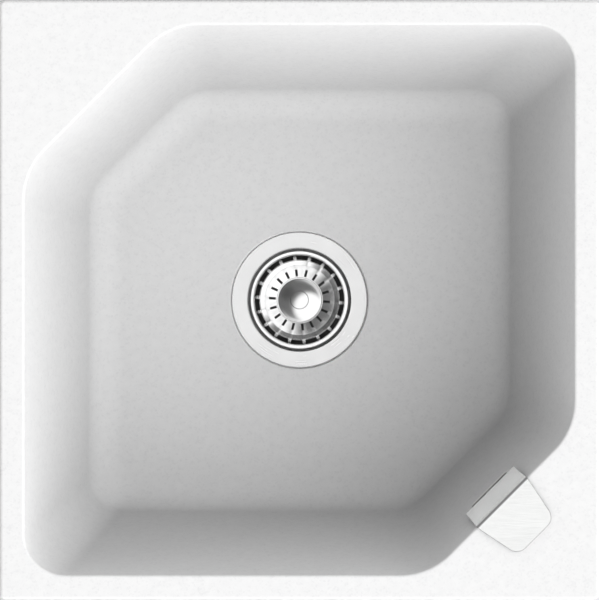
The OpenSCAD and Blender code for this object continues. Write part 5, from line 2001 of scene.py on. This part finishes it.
    def outline(self) -> list[Pair]:
        """The cover's outline from above: band, fold, tapering tab and two round corners."""
        end = self.bend_line(self.thickness)[-1][0]
        corner_y = self.tab_w / 2 - self.corner_r * math.sin(math.radians(self.corner_turn))
        corner_x = self.tab - self.corner_r
        right = arc((corner_x, -corner_y), self.corner_r, -self.corner_turn, 0, 12)
        left = arc((corner_x, corner_y), self.corner_r, 0, self.corner_turn, 12)
        past = (end - 10, self.end_w / 2)
        return [
            (past[0], -past[1]), (end, -past[1]), (0, -self.fold_w / 2), *right, *left,
            (0, self.fold_w / 2), (end, past[1]), past,
        ]

    def cover(self) -> None:
        """The cover: its section drawn across, trimmed to its outline, with a fine bevel."""
        section = [*self.bend_line(self.thickness), *reversed(self.bend_line(0))]
        cover = Bench.prism("cover", section, -self.fold_w / 2, self.fold_w / 2)
        Bench.place(cover, UPRIGHT)
        Bench.trim(cover, Bench.prism("cover_trim", self.outline(), -40, 20))
        Bench.soften(cover, 0.35, 3)
        Bench.place(cover, self.sink.at_cut())
        Bench.finish(cover, "sink", Slot.SATIN_STEEL, COVER_STEEL, "overflow_cover", smooth=20)

    def insert(self) -> None:
        """The plastic frame in the opening, with its rounded plate, its raised lip and its bar."""
        (w, h, corner), (lip, ditch, deep) = self.plate, self.lip
        width, height = self.sink.overflow
        proud, end, wall = self.proud, self.through, 2 * (self.frame_t + self.gap)
        plate = Bench.plate("insert", self.plate, -proud, 0)
        inside = (w - 2 * lip, h - 2 * lip, max(0.5, corner - lip))
        groove = Bench.plate("insert_groove", inside, -5, deep - proud)
        core = Bench.plate("insert_core", (w - 2 * ditch, h - 2 * ditch, 1.0), -6, deep)
        Bench.cut(plate, Bench.cut(groove, core))
        Bench.unite(plate, Bench.slot("insert_frame", width - 2 * self.gap, height - 2 * self.gap, -1, end))
        mouth = Bench.slot("insert_mouth", width - wall, height - wall, -5, end + 1)
        half = self.bar_w / 2
        Bench.cut(mouth, Bench.block("insert_bar", (-6, -half, -10), (end + 2, half, 10)))
        bore, (wide, depth) = self.screw_r + 0.1, self.countersink
        Bench.cut(plate, mouth, Bench.rod("insert_hole", bore, (-5, 0, 0), (end + 1, 0, 0)))
        sink = Bench.lathe("insert_sink", [(0, -0.1), (wide, -0.1), (bore, depth), (0, depth)], 48)
        Bench.cut(plate, Bench.place(sink, Matrix.Translation((-proud, 0, 0)) @ LYING))
        Bench.soften(plate, 0.5, 3)
        on_wall = self.sink.on_wall()
        Bench.place(plate, on_wall)
        inwards = -on_wall.col[0].to_3d()
        face = (on_wall.translation.dot(inwards) + proud) * METRES
        # the insert's ditch behind the plate's front face gets painted shade
        finish = Recessed(
            "glossy_white_plastic", (0.95, 0.95, 0.94), (0.24, 0.32), dust=0.02,
            outward=tuple(inwards), face=face,
        )
        Bench.finish(plate, "sink", Slot.WHITE_PLASTIC, finish, "overflow_insert")


@dataclass
class Hose:
    """The ribbed hose from the overflow's head to the waste body, with its nuts and seals."""

    rib_r: float = 12.0
    root_r: float = 10.5
    bore: float = 8.0
    pitch: float = 4.0
    plain: float = 26.0
    bend: float = 70.0
    outer: float = HOSE_TOP[0]
    inner: float = HOSE_FOOT[0]
    top: float = HOSE_TOP[1]
    low: float = HOSE_FOOT[1]
    sides: int = 32
    bend_steps: int = 24
    nut_r: float = 15.0
    nut_l: float = 24.0
    nut_start: float = 10.7
    nut_bore: Triple = (11.95, 10.7, 16.0)
    seal_r: Pair = (10.6, 11.8)
    seal_l: float = 5.0
    flutes: int = 12
    flute: Pair = (1.6, 0.6)
    seal_start: float = 0.15

    def build(self) -> None:
        """Makes the hose, its nuts and its seals."""
        self.hose()
        self.nuts()
        self.seals()

    def route(self, s: float) -> Triple:
        """Where the hose runs.

        Args:
            s: The distance along it from its upper end.

        Returns:
            The distance from the drain, the height and the angle that it has turned.
        """
        drop = self.top - self.low - self.bend
        turn = self.bend * math.pi / 2
        if s <= drop:
            return (self.outer, self.top - s, 0.0)
        if s >= drop + turn:
            return (self.outer - self.bend - (s - drop - turn), self.low, math.pi / 2)
        a = (s - drop) / self.bend
        return (self.outer - self.bend * (1 - math.cos(a)), self.low + self.bend * (1 - math.sin(a)), a)

    def ring(self, s: float, r: float) -> Ring:
        """A ring round the hose at a distance along it.

        Args:
            s: The distance along the hose.
            r: The ring's radius.

        Returns:
            The ring, in the hose's plane.
        """
        reach, z, a = self.route(s)
        turns = [math.tau * k / self.sides for k in range(self.sides)]
        spokes = [(r * math.cos(t), r * math.sin(t)) for t in turns]
        return [(reach + x * math.cos(a), y, z - x * math.sin(a)) for x, y in spokes]

    def hose(self) -> None:
        """The hose: plain ends, rounded ribs all along it and a smooth bore."""
        drop, turn = self.top - self.low - self.bend, self.bend * math.pi / 2
        length = drop + turn + self.outer - self.bend - self.inner
        ribs = math.floor((length - 2 * self.plain) / self.pitch)
        step = (length - 2 * self.plain) / ribs
        shape = ((0.0, 0.0), (0.12, 0.3), (0.26, 0.88), (0.42, 1.0), (0.58, 0.88), (0.72, 0.3), (0.86, 0.0))
        root, rise, edge = self.root_r, self.rib_r - self.root_r, 0.4
        places = [(0, root - edge), (edge, root)]
        places += [(self.plain + (i + s) * step, root + rise * h) for i in range(ribs) for s, h in shape]
        places += [(length - edge, root), (length, root - edge), (length, self.bore)]
        places += [(drop + turn * i / self.bend_steps, self.bore) for i in range(self.bend_steps, -1, -1)]
        rings = [self.ring(s, r) for s, r in [*places, (0, self.bore)]]
        hose = Bench.place(Bench.loft("hose", rings), turned(HOSE_AZIMUTH))
        Bench.finish(hose, "sink", Slot.HOSE_PLASTIC, HOSE_PLASTIC, "overflow_hose", smooth=60)

    def nuts(self) -> None:
        """The two fluted nuts: one is modelled, and each end gets a copy."""
        r, end, (wide, narrow, seat) = self.nut_r, self.nut_l, self.nut_bore
        section = rounded([
            (wide, 0), (r - 0.2, 0, 0.5), (r, 1.5), (r, end - 2.2, 0.5), (r - 0.9, end, 0.8),
            (narrow, end, 0.4), (narrow, seat, 0.2), (wide, seat),
        ], 3)
        nut = Bench.lathe("nut", section)
        flute_r, out = self.flute
        flute = Bench.rod("flute", flute_r, (r + out, 0, -1), (r + out, 0, end - 2), 24)
        flutes = Bench.copies(flute, [turned(360 / self.flutes * i) for i in range(self.flutes)])
        Bench.cut(nut, Bench.gather("flutes", flutes))
        Bench.soften(nut, 0.2)
        for low, node in ((False, "hose_nut_top"), (True, "hose_nut_bottom")):
            placed = Bench.copied(nut, node + "_piece", hose_end(low, -self.nut_start))
            Bench.finish(placed, "sink", Slot.WHITE_PLASTIC, PLASTIC, node)
        bpy.data.objects.remove(nut)

    def seals(self) -> None:
        """The two rubber seals inside the nuts."""
        (bore, r), end = self.seal_r, self.seal_l
        section = rounded([(bore, 0, 0.3), (r, 0, 0.5), (r, end, 0.5), (bore, end, 0.3)], 3)
        for low, node in ((False, "hose_seal_top"), (True, "hose_seal_bottom")):
            seal = Bench.place(Bench.lathe(node + "_piece", section, 64), hose_end(low, self.seal_start))
            Bench.finish(seal, "sink", Slot.RUBBER, RUBBER, node)


class Side(Enum):
    """The sides of the rim, in the order of the clamps' frames."""

    BACK = 0
    LEFT = 1
    FRONT = 2
    RIGHT = 3


@dataclass
class Clamps:
    """The four clamps that pull the rim down on the worktop, modelled once."""

    sink: SinkBowl
    eye: float = -40.0
    eye_r: float = 5.5
    jaw_t: float = 3.0
    jaw_l: float = 26.0
    arm: Pair = (-2.0, 5.5)
    tooth_foot: float = 11.0
    tooth_tip: float = 13.0
    teeth: int = 3
    screw_r: float = 2.5
    screw_end: float = -6.0
    head_r: float = 4.25
    head_end: float = -45.0
    washer_r: float = 5.0
    washer_t: float = 1.0
    thread: Pair = (0.32, 0.8)
    tip_t: float = 3.0
    web: Pair = (-3.0, -0.5)

    def build(self) -> None:
        """Makes one clamp and copies it to each side."""
        makes = (
            ("screw", self.screw, Slot.SCREW_STEEL, SCREW_STEEL),
            ("washer", self.washer, Slot.ZINC_STEEL, ZINC),
            ("jaw", self.jaw, Slot.ZINC_STEEL, ZINC),
        )
        for part, make, slot, finish in makes:
            model = make()
            for side in Side:
                node = f"clamp_{side.name.lower()}_{part}"
                placed = Bench.copied(model, node + "_piece", self.sink.clamps[side.value])
                Bench.finish(placed, node, slot, finish, node)
            bpy.data.objects.remove(model)

    def screw(self) -> Piece:
        """The screw: a round head with a slot, and a thread up to its chamfered end."""
        r, end, seat, head_r = self.screw_r, self.screw_end, self.eye - self.washer_t, self.head_r
        depth, pitch = self.thread
        root, low = r - depth, self.head_end
        section = rounded([
            (0, low), (head_r, low, 1.1), (head_r, seat, 0.3), (r, seat), (r, seat + 1.6), (root, seat + 2.1),
            (root, end - 0.8), (root - 0.7, end), (0, end),
        ], 3, closed=False)
        screw = Bench.lathe("clamp_screw", section, 40)
        Bench.unite(screw, Thread(r, depth, pitch, seat + 1.4, end - 0.4, 20).build("clamp_thread"))
        return Bench.cut(screw, Bench.block("clamp_slot", (-6, -0.6, low - 1), (6, 0.6, low + 1.5)))

    def washer(self) -> Piece:
        """The washer, stamped with a round upper edge."""
        bore, r, low, high = self.screw_r + 0.05, self.washer_r, self.eye - self.washer_t, self.eye - HAIR
        section = rounded([(bore, low), (r, low, 0.15), (r, high, 0.35), (bore, high, 0.2)], 3)
        return Bench.lathe("clamp_washer", section, 64)

    def jaw(self) -> Piece:
        """The jaw: an eye, an arm, an upturned toothed end and the web between them."""
        (near, far), eye, r, end = self.arm, self.eye, self.eye_r, self.jaw_l
        top, start = eye + self.jaw_t, end - self.tip_t
        jaw = Bench.lathe("clamp_jaw", [(0, eye), (r, eye), (r, top), (0, top)], 64)
        arm = Bench.block("jaw_arm", (0, near, eye), (end, far, top))
        pitch = (far - near) / self.teeth
        foot, crest = eye + self.tooth_foot, eye + self.tooth_tip
        steps = [2 * self.teeth - i for i in range(2 * self.teeth)]
        crown = [(near + i / 2 * pitch, crest if i % 2 else foot) for i in steps]
        tip = Bench.prism("jaw_tip", [(near, eye), (far, eye), *crown, (near, foot)], start, end)
        middle, low, high = end - self.tip_t / 2, top - 0.5, top + 7
        web = Bench.prism("jaw_web", [(r + 3, low), (middle, low), (middle, high), (start, high)], *self.web)
        Bench.unite(jaw, arm, Bench.place(tip, ACROSS), Bench.place(web, UPRIGHT))
        Bench.cut(jaw, Bench.rod("jaw_hole", self.screw_r + 0.05, (0, 0, eye - 1), (0, 0, top + 1)))
        return Bench.soften(jaw, 0.3)


def dress_plain() -> None:
    """Gives each CAD node, also those that stay in sight, the finish of its slot."""
    finishes = {
        Slot.COMPOSITE: COMPOSITE, Slot.SATIN_STEEL: FLANGE_STEEL, Slot.KNOB_STEEL: KNOB_STEEL,
        Slot.PLATED_STEM: PLATED, Slot.SCREW_STEEL: SCREW_STEEL, Slot.ZINC_STEEL: ZINC, Slot.BRASS: BRASS,
        Slot.RUBBER: RUBBER, Slot.WHITE_PLASTIC: PLASTIC, Slot.HOSE_PLASTIC: HOSE_PLASTIC,
    }
    for part in frame["record"]["subparts"]:
        materials = frame["nodes"][part["node"]].data.materials
        materials.clear()
        materials.append(finishes[Slot(part["material_slot"])].material())


def main() -> None:
    """Builds the sub-assemblies in order."""
    Studio().build()
    dress_plain()
    sink = SinkBowl()
    sink.build()
    Waste().build()
    Strainer().build()
    Overflow(sink).build()
    Hose().build()
    Clamps(sink).build()


if __name__ == "__main__":
    main()
